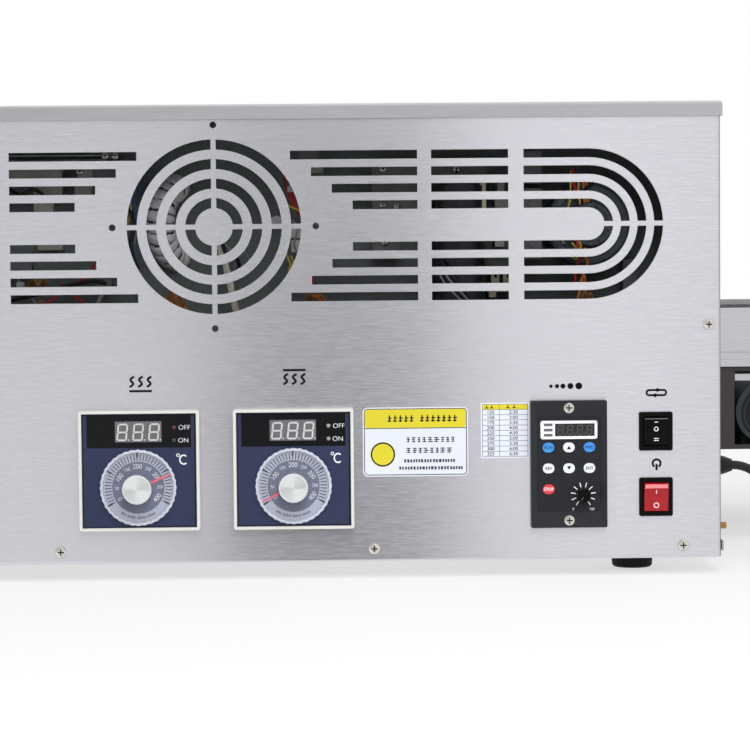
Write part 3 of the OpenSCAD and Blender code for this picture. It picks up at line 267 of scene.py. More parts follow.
surface("plate_grey", (178, 176, 174), 0.5, 0.1, 0.08, 400, blotch=0.12, blotch_size=25)
surface("plate_dark", (124, 124, 128), 0.5, 0.1, 0.08, 400, blotch=0.1, blotch_size=25)
# Windows, lamps and print.
surface("window_dark", (44, 42, 43), 0.3, 0, 0.08, 2600, relief=0.005, shine=0.2)
surface("window_grey", (100, 100, 103), 0.35, 0, 0.10, 2600, relief=0.01, shine=0.2)
surface("glass_black", (13, 13, 16), 0.2, 0, 0.05, 1500, relief=0.002, shine=0.2)
inks(0.4, 0.05, 0.2, segment_dim=(84, 84, 84))
inks(0.4, 0.03, 0.3, segment_grey=(196, 197, 197))
# Painted shade on the panel's bent right edge, and a painted highlight on the black rocker's top edge.
inks(0.3, 0.08, 0.5, ridge_grey=(112, 113, 117))
# Black print, also painted shade in screw head slots and terminal openings.
inks(0.5, 0.08, 0.1, print_black=(10, 10, 11))
inks(0.5, 0.05, 0.1, print_navy=(24, 58, 104))
inks(0.5, 0.02, 0.5, print_white=(236, 237, 240))
inks(0.45, 0.02, 0.3, scale_grey=(160, 163, 180))
inks(0.4, 0.04, 0.3, pointer_red=(240, 62, 88))
inks(0.4, 0.012, 0.5, label_white=(216, 220, 230))
inks(0.4, 0.03, 0.2, label_yellow=(212, 199, 52))
inks(0.5, 0.05, 0.5, label_line=(64, 60, 88))
inks(0.25, 0.05, 0.5, led_off_red=(86, 48, 52), led_off_green=(40, 70, 60), led_clear=(146, 148, 148))
# Painted shade for the floors of screw slots.
surface("slot_shade", (38, 34, 30), 0.5, 0, 0.12, 1500, relief=0.01, shine=0.2)
surface("disc_violet", (82, 86, 108), 0.4, 0, 0.03, 1500, relief=0.004, blotch=0.12, blotch_size=40,
        shine=0.2)
# Wires and straps.
for wire, colour in (("red", (222, 48, 44)), ("orange", (232, 136, 60)), ("yellow", (240, 212, 70)),
                     ("blue", (70, 96, 140)), ("black", (44, 44, 46))):
    surface("wire_" + wire, colour, 0.4, 0, 0.08, 900, relief=0.01)
surface("wire_grey", (156, 156, 158), 0.45, 0, 0.08, 900, relief=0.01)
surface("wire_white", (222, 222, 218), 0.4, 0, 0.05, 900, relief=0.01)
surface("copper", (168, 122, 72), 0.4, 0.2, 0.15, 900, relief=0.03)
surface("strap", (178, 174, 164), 0.7, 0, 0.18, 900, relief=0.1)
surface("woven_sleeve", (226, 222, 208), 0.75, 0, 0.22, 1400, (1, 1, 1.6), 0.2)


# ---- Shape helpers ----

def dress(obj, material, body="oven", replaces=()):
    """Gives a piece its material, its body and the CAD nodes it stands for."""
    obj.data.materials.append(MATERIAL[material])
    if obj.name not in SCENE.collection.objects:
        SCENE.collection.objects.link(obj)
    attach(obj, body)
    if replaces:
        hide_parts(*replaces)
    return obj


def mesh_piece(name, verts, faces, material, body="oven", slot=None, replaces=(), smooth=False):
    mesh = bpy.data.meshes.new(name)
    mesh.from_pydata([tuple(v) for v in verts], [], faces)
    mesh.update()
    if smooth:
        mesh.shade_smooth()
    return dress(bpy.data.objects.new(name, mesh), material, body, replaces)


def curve_piece(name, lines, radius, material, replaces=(), sides=4):
    """Round wires or cords along lines of points in metres."""
    curve = bpy.data.curves.new(name, "CURVE")
    curve.dimensions = "3D"
    curve.bevel_depth = radius * MM
    curve.bevel_resolution = sides
    curve.use_fill_caps = True
    for line in lines:
        spline = curve.splines.new("POLY")
        spline.points.add(len(line) - 1)
        for knot, place in zip(spline.points, line):
            knot.co = (*place, 1)
    return dress(bpy.data.objects.new(name, curve), material, replaces=replaces)


def smooth_line(points, steps):
    """A smooth curve through points, with steps parts between each two."""
    last = len(points) - 1
    line = []
    for i in range(last):
        a, b, c, d = (points[max(i - 1, 0)], points[i], points[i + 1], points[min(i + 2, last)])
        for k in range(steps):
            t = k / steps
            line.append(0.5 * (2 * b + (c - a) * t + (2 * a - 5 * b + 4 * c - d) * t * t
                               + (3 * b - a - 3 * c + d) * t ** 3))
    return line + [points[last]]


def polar(r, degrees):
    a = radians(degrees)
    return r * cos(a), r * sin(a)


def ring_faces(count, rings, start=0):
    """The faces between rings of count points each, where every ring follows the one before."""
    return [[start + i * count + k, start + i * count + (k + 1) % count,
             start + (i + 1) * count + (k + 1) % count, start + (i + 1) * count + k]
            for i in range(rings - 1) for k in range(count)]


def revolve(name, profile, x, z, material, body="oven", count=64, ripple=None, **kinds):
    """Turns (radius, depth) points about the line along Y through X and height z."""
    verts, faces, rows = [], [], []
    for k, (radius, depth) in enumerate(profile):
        if radius == 0:
            rows.append([len(verts)] * count)
            verts.append(spot(x, z, depth))
            continue
        rows.append(list(range(len(verts), len(verts) + count)))
        for i in range(count):
            angle = 2 * pi * i / count
            r = radius + (ripple(k, angle) if ripple else 0)
            verts.append(spot(x + r * cos(angle), z + r * sin(angle), depth))
    for low, high in zip(rows, rows[1:]):
        for i in range(count):
            j = (i + 1) % count
            face = [low[i], low[j], high[j], high[i]]
            faces.append([v for n, v in enumerate(face) if v not in face[:n]])
    return mesh_piece(name, verts, faces, material, body, **kinds)


class Print:
    """Flat print on a plane that faces the front: shapes are in millimetres about a place on the plane."""

    def __init__(self, x=0, z=0, depth=0.0):
        self.at = (x, z)
        self.depth = depth
        self.points = []
        self.faces = []

    def shape(self, outline):
        start = len(self.points)
        self.points += outline
        self.faces.append(list(range(start, start + len(outline))))
        return self

    def bars(self, *corners):
        """Upright bars, each from its lower left to its upper right corner."""
        for x0, z0, x1, z1 in corners:
            self.shape([(x0, z0), (x1, z0), (x1, z1), (x0, z1)])
        return self

    def soft_bar(self, x0, z0, x1, z1, r, n=6):
        corners = [(x1 - r, z1 - r, 0), (x0 + r, z1 - r, 90), (x0 + r, z0 + r, 180), (x1 - r, z0 + r, 270)]
        return self.shape([(x + r * cos(radians(a + 90 * k / n)), z + r * sin(radians(a + 90 * k / n)))
                           for x, z, a in corners for k in range(n + 1)])

    def disc(self, x, z, r, n=32):
        return self.shape([(x + r * cos(2 * pi * k / n), z + r * sin(2 * pi * k / n)) for k in range(n)])

    def band(self, x, z, r0, r1, start=0.0, end=360.0, n=64, tall=1.0):
        for k in range(n):
            a, b = (radians(start + (end - start) * (k + e) / n) for e in (0, 1))
            self.shape([(x + r * cos(t), z + tall * r * sin(t))
                        for r, t in ((r0, a), (r1, a), (r1, b), (r0, b))])
        return self

    def stroke(self, line, width):
        """A line of even width with mitred corners."""
        sides = []
        for i, (x, z) in enumerate(line):
            back = line[max(i - 1, 0)]
            ahead = line[min(i + 1, len(line) - 1)]
            before = Vector((x - back[0], z - back[1]))
            after = Vector((ahead[0] - x, ahead[1] - z))
            before = before.normalized() if before.length else after.normalized()
            after = after.normalized() if after.length else before
            way = (before + after).normalized()
            half = width / 2 / max(0.5, way.dot(after))
            sides.append(((x - way.y * half, z + way.x * half), (x + way.y * half, z - way.x * half)))
        for (a, b), (c, d) in zip(sides, sides[1:]):
            self.shape([a, b, d, c])

    def spoke(self, degrees, r0, r1, width):
        self.stroke([polar(r, degrees) for r in (r0, r1)], width)

    def text(self, words, x, z, tall, turn=0.0, wide=1.0, thin=0.0):
        """Letters whose capitals are this tall, centred on the place."""
        data = bpy.data.curves.new("letters", "FONT")
        data.body = words
        data.align_x = "CENTER"
        data.size = 1
        data.offset = -thin
        letters = bpy.data.objects.new("letters", data)
        SCENE.collection.objects.link(letters)
        bpy.context.view_layer.update()
        mesh = letters.evaluated_get(bpy.context.evaluated_depsgraph_get()).to_mesh()
        top = max(v.co.y for v in mesh.vertices)
        low = min(v.co.y for v in mesh.vertices)
        k = tall / (top - low)
        c, s = polar(1, turn)
        start = len(self.points)
        for v in mesh.vertices:
            u, w = v.co.x * k * wide, (v.co.y - (top + low) / 2) * k
            self.points.append((x + u * c - w * s, z + u * s + w * c))
        self.faces += [[start + i for i in p.vertices] for p in mesh.polygons]
        bpy.data.objects.remove(letters)
        return self

    def make(self, name, material, body="oven", lift=0.06):
        verts = [spot(self.at[0] + x, self.at[1] + z, self.depth - lift) for x, z in self.points]
        mesh_piece(name, verts, self.faces, material, body)


# ---- Mains lead: one cord from the gland to the plug, the spare length coiled ----

CORD_R = 3.7
TURNS = 5
# The radius of the coil's middle.
COIL_R = 40
gland_low, gland_high = box_mm("cable_gland")
gland_y = (gland_low.y + gland_high.y) / 2
gland_z = (gland_low.z + gland_high.z) / 2
coil_low, coil_high = box_mm("cord_coil")
coil_x, coil_y = (coil_low.x + coil_high.x) / 2, (coil_low.y + coil_high.y) / 2
# The route from part.scad: how far out from the gland's tip, and the height as a share of the gland's.
ROUTE = [
    (0, 1), (5.5, 0.995), (12.5, 0.969), (19.5, 0.917), (25.5, 0.847), (30.5, 0.757), (34, 0.642),
    (36, 0.515), (38, 0.387), (41.5, 0.266), (47, 0.151), (54, 0.068), (62.5, 0.019), (71, 0.001),
]
# Where each turn lies in the coil's section: (columns out, layers up). It moves on over 45 degrees,
# later turns sooner, so that the place it moves to is free.
PLACES = [(1, 0), (-1, 0), (-1, 1), (-1, 2), (1, 2), (1, 1)]
MOVE_END = [345, 295, 245, 195, 145]


def coil_point(turn, angle):
    """A point of the coil, in degrees from the turn's start at the coil's front."""
    share = min(1.0, max(0.0, (angle - MOVE_END[turn] + 45) / 45))
    share = share * share * (3 - 2 * share)
    out, up = (PLACES[turn][i] * (1 - share) + PLACES[turn + 1][i] * share for i in (0, 1))
    r = COIL_R + out * CORD_R
    a = radians(angle - 90)
    return point(coil_x + r * cos(a), coil_y + r * sin(a), CORD_R * (1 + 2 * up))


lead = [point(gland_high.x + x, gland_y, CORD_R + up * (gland_z - CORD_R)) for x, up in ROUTE]
lead += [point(coil_x - 9, gland_y, CORD_R), coil_point(0, 0)]
cord_line = smooth_line(lead, 3)[:-1]
cord_line += [coil_point(turn, angle) for turn in range(TURNS) for angle in range(0, 360, 8)]
plug_low, plug_high = box_mm("mains_plug")
plug_y = (plug_low.y + plug_high.y) / 2
cord_line += [point(coil_x + t * (plug_low.x + 1 - coil_x), plug_y, 3 * CORD_R) for t in (0, 0.33, 0.66, 1)]
mains_lead = curve_piece("mains_lead", [cord_line], CORD_R, "cord_jacket",
                         replaces=["mains_cord", "cord_coil"], sides=5)


# The moulded plug: a ribbed relief that grows into a waisted body with finger grips.
PLUG_SIDES = 40
PIN_SIDES = 16


def plug_section(x, w, h, power):
    """A ring of points round the plug: an ellipse where the power is 2, squarer where it is more."""
    ring = []
    for k in range(PLUG_SIDES):
        a = 2 * pi * k / PLUG_SIDES
        c, s = cos(a), sin(a)
        y = copysign(abs(c) ** (2 / power), c) * w / 2
        z = copysign(abs(s) ** (2 / power), s) * h / 2
        ring.append(point(x, plug_y + y, 3 * CORD_R + z))
    return ring


plug_tall = 6 * CORD_R
plug_back = plug_low.x
plug_rings = [plug_section(plug_back, 2, 2, 2)]
# The relief's ribs, each 2 mm long, with narrower ones between.
RIBS = 15
for k in range(RIBS):
    width = 8.4 + 4.4 * k / (RIBS - 1) - (0.7 if k % 2 else 0)
    for dx in (0.1, 1.9):
        plug_rings.append(plug_section(plug_back + 2 * k + dx, width, width, 2))
# The body: how far along, width, height and the power of its section.
PLUG_BODY = [
    (31, 13.4, 13.4, 2), (32, 18, 16, 2.4), (34, 22, 18.6, 3), (38, 25.4, 20.4, 4), (44, 24.6, 20.4, 4),
    (50, 24.2, 20.6, 4), (56, 26, 21.4, 4), (63, 26.9, plug_tall, 4), (67.4, 26.9, plug_tall, 4),
    (68.7, 26, 21.4, 4), (69, 24.6, 20.2, 4), (69, 2, 2, 2),
]
plug_rings += [plug_section(plug_back + x, w, min(h, plug_tall), power) for x, w, h, power in PLUG_BODY]
plug_faces = ring_faces(PLUG_SIDES, len(plug_rings))
plug_faces.append(list(range(PLUG_SIDES - 1, -1, -1)))
plug_faces.append([(len(plug_rings) - 1) * PLUG_SIDES + i for i in range(PLUG_SIDES)])
plug_body = mesh_piece("plug_body", [v for ring in plug_rings for v in ring], plug_faces, "plug_plastic",
                       slot="plug_plastic", replaces=["mains_plug"], smooth=True)

# Its two flat blades and its round earth pin.
blade_verts, blade_faces = [], []
blade_back, blade_front = plug_back + 68, plug_high.x
for side in (-1, 1):
    y = plug_y + side * 6.35
    z = 3 * CORD_R + 4
    outline = [(blade_back, -3.2), (blade_front - 4.5, -3.2), (blade_front - 2, -1.4), (blade_front - 2, 1.4),
               (blade_front - 4.5, 3.2), (blade_back, 3.2)]
    start = len(blade_verts)
    blade_verts += [point(x, y + t, z + h) for t in (-0.75, 0.75) for x, h in outline]
    blade_faces += [[start + i for i in range(5, -1, -1)], [start + 6 + i for i in range(6)]]
    blade_faces += ring_faces(6, 2, start)
start = len(blade_verts)
for x, r in ((blade_back, 2.4), (blade_front - 1.4, 2.4), (blade_front - 0.3, 1.5), (blade_front, 0.4)):
    for k in range(PIN_SIDES):
        a = 2 * k * pi / PIN_SIDES
        blade_verts.append(point(x, plug_y + r * cos(a), 3 * CORD_R - 6 + r * sin(a)))
blade_faces += ring_faces(PIN_SIDES, 4, start)
blade_faces.append([start + 3 * PIN_SIDES + i for i in range(PIN_SIDES)])
plug_blades = mesh_piece("plug_blades", blade_verts, blade_faces, "stud_brass", slot="stud_brass")

# A strap round the coil's bundle, on the side away from the case: its outside, then its inside.
tie_verts, tie_faces = [], []
TIE = (((7.9, 0.05), (7.9, 22.0), (7.3, 22.5)), ((7.4, 0.4), (7.4, 21.8), (7.2, 22.1)))
for y in (-4, 4):
    for half in TIE:
        section = [(-x, z) for x, z in half] + list(half[::-1])
        tie_verts += [point(coil_x + COIL_R + x, coil_y + y, z) for x, z in section]
for i in range(6):
    j = (i + 1) % 6
    tie_faces += [[i, j, 12 + j, 12 + i], [6 + j, 6 + i, 18 + i, 18 + j], [j, i, 6 + i, 6 + j],
                  [12 + i, 12 + j, 18 + j, 18 + i]]
mesh_piece("coil_tie", tie_verts, tie_faces, "strap", slot="cord_jacket")


# ---- Stage: floor, lights and world ----

# Half the floor's side and its height, in metres: it lies just under the feet.
FLOOR_HALF, FLOOR_Z = 4, -0.0002
floor_mesh = bpy.data.meshes.new("floor")
floor_corners = [(x * FLOOR_HALF, y * FLOOR_HALF, FLOOR_Z) for x, y in ((-1, -1), (1, -1), (1, 1), (-1, 1))]
floor_mesh.from_pydata(floor_corners, [], [(0, 1, 2, 3)])
floor = bpy.data.objects.new("floor", floor_mesh)
SCENE.collection.objects.link(floor)
paper = finish("floor_paper", srgb(238, 238, 238), 0.8, 0, 0.004, 200, relief=0.0, blotch=0.002)
nodes, links = paper.node_tree.nodes, paper.node_tree.links
# Towards its edge the paper fades away.
distance = nodes.new("ShaderNodeVectorMath")
distance.operation = "LENGTH"
links.new(nodes.new("ShaderNodeTexCoord").outputs["Object"], distance.inputs[0])
clear = nodes.new("ShaderNodeBsdfTransparent")
blend_out = nodes.new("ShaderNodeMixShader")
links.new(spread(nodes, links, distance.outputs["Value"], 0, 1, 0.8, 1.5), blend_out.inputs["Fac"])
# The camera sees the paper with its shadows lifted, as on a lit sweep.
lit = nodes.new("ShaderNodeEmission")
lit.inputs["Color"].default_value = (1, 1, 1, 1)
lift = nodes.new("ShaderNodeMixShader")
camera_ray = nodes.new("ShaderNodeLightPath").outputs["Is Camera Ray"]
links.new(spread(nodes, links, camera_ray, 0, 0.6, 0, 1), lift.inputs["Fac"])
links.new(nodes["Principled BSDF"].outputs["BSDF"], lift.inputs[1])
links.new(lit.outputs["Emission"], lift.inputs[2])
links.new(lift.outputs["Shader"], blend_out.inputs[1])
links.new(clear.outputs["BSDF"], blend_out.inputs[2])
links.new(blend_out.outputs["Shader"], nodes["Material Output"].inputs["Surface"])
floor_mesh.materials.append(paper)
floor.visible_glossy = False

world = bpy.data.worlds.new("studio")
SCENE.world = world
world.use_nodes = True
nodes, links = world.node_tree.nodes, world.node_tree.links
backdrop = nodes["Background"]
backdrop.inputs["Color"].default_value = (1, 1, 1, 1)
sky = nodes.new("ShaderNodeTexCoord")
split = nodes.new("ShaderNodeSeparateXYZ")
links.new(sky.outputs["Generated"], split.inputs[0])
way_x, way_y, way_z = (split.outputs[axis] for axis in "XYZ")


def maths(operation, *values, clamp=False):
    node = nodes.new("ShaderNodeMath")
    node.operation = operation
    node.use_clamp = clamp
    for socket, value in zip(node.inputs, values):
        if isinstance(value, (int, float)):
            socket.default_value = value
        else:
            links.new(value, socket)
    return node.outputs["Value"]


def ramp(value, start, end):
    """Rises smoothly from 0 at start to 1 at end."""
    node = nodes.new("ShaderNodeMapRange")
    node.interpolation_type = "SMOOTHSTEP"
    node.inputs["From Min"].default_value = start
    node.inputs["From Max"].default_value = end
    links.new(value, node.inputs["Value"])
    return node.outputs["Result"]


def mixed(factor, first, second):
    """The first value where the factor is 0 and the second where it is 1."""
    node = nodes.new("ShaderNodeMix")
    links.new(factor, node.inputs["Factor"])
    links.new(first, node.inputs["A"])
    if isinstance(second, (int, float)):
        node.inputs["B"].default_value = second
    else:
        links.new(second, node.inputs["B"])
    return node.outputs["Result"]


# The room's light: a little stronger from above and from the right.
rise = spread(nodes, links, way_z, 0.38, 0.56, -0.5, 0.8)
side_light = spread(nodes, links, way_x, 0.9, 1.12, -0.6, 0.6)
room = maths("MULTIPLY", rise, side_light)
# What polished faces mirror. Facing the panel the studio is dimmer, with a window on the right.
ahead = maths("MAXIMUM", maths("MULTIPLY", way_y, -1), 0.05)
across = maths("DIVIDE", way_x, ahead)
upward = maths("DIVIDE", way_z, ahead)
facing = ramp(ahead, 0.35, 0.65)
low = ramp(upward, -0.01, -0.07)
window = ramp(across, 0.045, 0.06)
left = maths("SUBTRACT", 1, ramp(across, -0.047, -0.028))
left_dim = maths("SUBTRACT", 0.42, maths("MULTIPLY", low, 0.4))
middle_dim = maths("ADD", 0.44, maths("MULTIPLY", low, 0.56))
right_dim = maths("MULTIPLY", ramp(across, 0.08, 0.2), 0.16)
dim = maths("ADD", maths("MULTIPLY", left, left_dim),
            maths("MULTIPLY", maths("SUBTRACT", maths("SUBTRACT", 1, left), window), middle_dim))
dim = maths("MULTIPLY", maths("ADD", dim, right_dim), facing)
mirrored = maths("SUBTRACT", 1, dim)
light_path = nodes.new("ShaderNodeLightPath").outputs
bounced = maths("ADD", light_path["Is Glossy Ray"], light_path["Is Transmission Ray"], clamp=True)
# The camera itself sees plain white.
strength = mixed(light_path["Is Camera Ray"], mixed(bounced, room, mirrored), 1)
links.new(strength, backdrop.inputs["Strength"])

# Each lamp's place, target, size, power, and whether polished faces mirror it.
LAMPS = {
    "key": ((0.5, -1.9, 2.3), (0.05, -0.3, 0.2), (1.8, 1.2), 20, False),
    "glint": ((0.5, -1.9, 2.3), (0.05, -0.3, 0.2), (0.5, 0.35), 6, True),
    "front": ((0.25, -2.5, 1.25), (0.05, -0.3, 0.25), (1.2, 0.6), 26, False),
    "side": ((2.4, -1.6, 1.0), (0.2, -0.3, 0.2), (1.2, 1.6), 13, False),
    "back": ((-1.2, 2.4, 2.0), (0, 0.2, 0.2), (1.6, 1.2), 22, False),
}
for name, (place, target, size, power, glossy) in LAMPS.items():
    data = bpy.data.lights.new(name, "AREA")
    data.shape = "RECTANGLE"
    data.size, data.size_y = size
    data.energy = power
    lamp = bpy.data.objects.new(name, data)
    SCENE.collection.objects.link(lamp)
    lamp.location = place
    lamp.rotation_euler = (Vector(target) - Vector(place)).to_track_quat("-Z", "Y").to_euler()
    lamp.visible_glossy = glossy

SCENE.view_settings.view_transform = "Standard"


# ---- Prints on the front panel ----

PANEL_LOW, PANEL_HIGH = box_mm("front_panel")


def heat_mark(name, x, z, line_z):
    """Three rising waves beside a straight line: heat from below or from above."""
    mark = Print(x, z)
    for k in (-1, 0, 1):
        wave = [(k * 6.9 + 1.9 - 3.8 * t - 1.9 * sin(2 * pi * t), 4.1 - 8.2 * t)
                for t in [i / 16 for i in range(17)]]
        mark.stroke(wave, 1.8)
    mark.bars((-9.0, line_z - 0.9, 9.0, line_z + 0.9)).make(name, "print_black")


heat_mark("mark_bottom_heat", -60.1, -122.9, -7.5)
heat_mark("mark_top_heat", 62.7, -122.0, 7.2)

# Growing dots over the speed controller.
dots = Print(0, -129.8)
for x, r in ((268.2, 1.4), (273.1, 1.7), (277.8, 2.0), (283.8, 2.4), (290.6, 2.75)):
    dots.disc(x, 0, r)
dots.make("mark_speed", "print_black")

# A belt loop with two arrows over the direction switch, and a ring with a bar over the power switch.
LOOP_Z = -135.8
switch_marks = Print(352.9, 0)
for side, start in ((-1, 90), (1, 270)):
    switch_marks.band(side * 5.8, LOOP_Z, 1.2, 2.9, start, start + 180, 12)
    switch_marks.bars((-5.8, LOOP_Z + side * 2.05 - 0.85, 5.8, LOOP_Z + side * 2.05 + 0.85))
for flip in (1, -1):
    switch_marks.shape([(flip * x, LOOP_Z + flip * z) for x, z in ((0.2, 4.1), (3.8, 2.1), (0.2, 0.3))])
switch_marks.band(0, -192.7, 2.3, 4.0, 300, 600).bars((-0.9, -198.2, 0.9, -193.2))
switch_marks.make("mark_switches", "print_black")

# A dark strip along the panel's bent right edge: painted shade on the bend.
edge_shade = Print().bars((PANEL_HIGH.x - 0.8, PANEL_LOW.z - GRILLE + 1, PANEL_HIGH.x - 0.1,
                          PANEL_HIGH.z - GRILLE - 1))
edge_shade.make("panel_edge_shade", "ridge_grey", lift=0.05)


# ---- Stickers ----

# How far a sticker's sheet, its colour blocks and its lines lie over the panel.
SHEET, BLOCK, LINES = 0.08, 0.11, 0.14

Print().soft_bar(117, -201, 201.4, -145.5, 4).make("label_sheet", "label_white", lift=SHEET)
keyline = Print().bars(
    (120.6, -147.1, 197.8, -146.5), (120.6, -200, 197.8, -199.4), (118, -197.5, 118.6, -149),
    (199.8, -197.5, 200.4, -149), (118.3, -162.6, 200.1, -162.0))
for x, z, a in ((197.4, -149.5, 0), (121, -149.5, 90), (121, -197, 180), (197.4, -197, 270)):
    keyline.band(x, z, 2.4, 3.0, a, a + 90, 8)
# Rows of marks that stand for print: three strokes and a stem each, of uneven width.
for z, tall, x0, x1 in ((-171.6, 4.6, 152, 188), (-180.2, 4.6, 152, 188), (-188.6, 2.4, 150, 190),
                        (-194.4, 2.4, 146, 196)):
    x = x0
    while x < x1:
        wide = random.uniform(0.55, 1.0) * tall
        for k in range(3):
            mid = z + (k - 1) * tall * 0.36
            keyline.bars((x, mid - 0.36, x + wide * random.uniform(0.6, 1), mid + 0.36))
        keyline.bars((x + wide * 0.36, z - tall * 0.42, x + wide * 0.36 + 0.7, z + tall * 0.42))
        x += wide + tall * 0.24
Print().soft_bar(118.7, -161.9, 199.7, -147.2, 2.4).make("label_header", "label_yellow", lift=BLOCK)
for x0, x1 in ((137, 159), (163, 192)):
    x = x0
    while x < x1:
        keyline.bars((x, -157, x + 2.8, -155.9), (x + 0.4, -154.6, x + 3.2, -153.6),
                     (x + 1, -157.2, x + 2, -151.9))
        x += 4.4
keyline.make("label_lines", "print_black", lift=LINES)
Print(133, -183.2).disc(0, 0, 9.6, 48).make("label_badge", "label_yellow", lift=BLOCK)
Print(133, -183.2).band(0, 0, 8.6, 9.8).make("label_badge_ring", "print_black", lift=LINES)

TABLE_X = (213.0, 226.6, 249.4)
TABLE_TOP, ROW, ROWS = -143.9, 4.19, 10
Print().soft_bar(211.7, -187.1, 250.6, -142.6, 0.6).make("table_sheet", "label_white", lift=SHEET)
rules = Print()
for k in range(ROWS + 1):
    rules.bars((TABLE_X[0], TABLE_TOP - k * ROW - 0.18, TABLE_X[2], TABLE_TOP - k * ROW + 0.18))
for x in TABLE_X:
    rules.bars((x - 0.18, TABLE_TOP - ROWS * ROW, x + 0.18, TABLE_TOP))
rules.make("table_lines", "label_line", lift=LINES)
Print().bars((TABLE_X[0], TABLE_TOP - ROW, TABLE_X[2], TABLE_TOP)).make(
    "table_header", "label_yellow", lift=BLOCK)
entries = Print()
for x in (216.5, 220.5, 233.5, 238.5):
    entries.bars((x - 1.5, TABLE_TOP - 0.5 * ROW - 1.1, x + 1.4, TABLE_TOP - 0.5 * ROW - 0.4),
                 (x - 0.4, TABLE_TOP - 0.5 * ROW - 1.1, x + 0.4, TABLE_TOP - 0.5 * ROW + 1.3))
for k in range(1, ROWS):
    z = TABLE_TOP - (k + 0.5) * ROW
    entries.text(str(100 + 25 * k), 219.6, z, 2.7, wide=1.1, thin=-0.012)
    entries.text(f"{2 + k // 2}:{10 * ((k * 3) % 6):02d}", 238, z, 2.7, wide=1.1, thin=-0.012)
entries.make("table_entries", "print_black", lift=LINES)


# ---- Temperature controllers ----

# How far print lies over a controller's face: its grounds, its marks and its digits.
GROUND, MARKS, DIGITS = 0.05, 0.09, 0.13
# How far print lies over a key or a knob.
ON_KEY = 0.04


def seven_segments(out, x, z, wide, tall, bar, slant):
    """An unlit digit: seven bars with gaps between them, leaning, and its point."""
    gap = 0.22
    half = tall / 2
    end = bar * 0.55 + gap

    def lean(points):
        return [(x + px + slant * (pz / tall), z + pz) for px, pz in points]

    for pz in (0, half - bar / 2, tall - bar):
        out.shape(lean([(end, pz), (wide - end, pz), (wide - end - 0.3, pz + bar), (end + 0.3, pz + bar)]))
    for px in (0, wide - bar):
        for pz in (bar * 0.5 + gap, half + gap):
            top = pz + half - bar * 0.5 - 2 * gap
            out.shape(lean([(px, pz), (px + bar, pz + 0.3), (px + bar, top - 0.3), (px, top)]))
    out.disc(x + wide + 1.5, z + 0.8, 0.62, 12)


# The scale's angle at 0, its turn for each degree of heat, and its last value.
SCALE_START, SCALE_TURN, SCALE_END = 211.5, 0.6, 400
SCALE_IN, SCALE_OUT = 20.8, 28.6
DIAL_FACE_GAP = 0.4
# The turn of each number on the scale, in degrees.
NUMBER_TURNS = {0: -50, 50: 0, 100: 52, 150: 14, 200: 0, 250: -14, 300: -52, 350: 0, 400: 50}


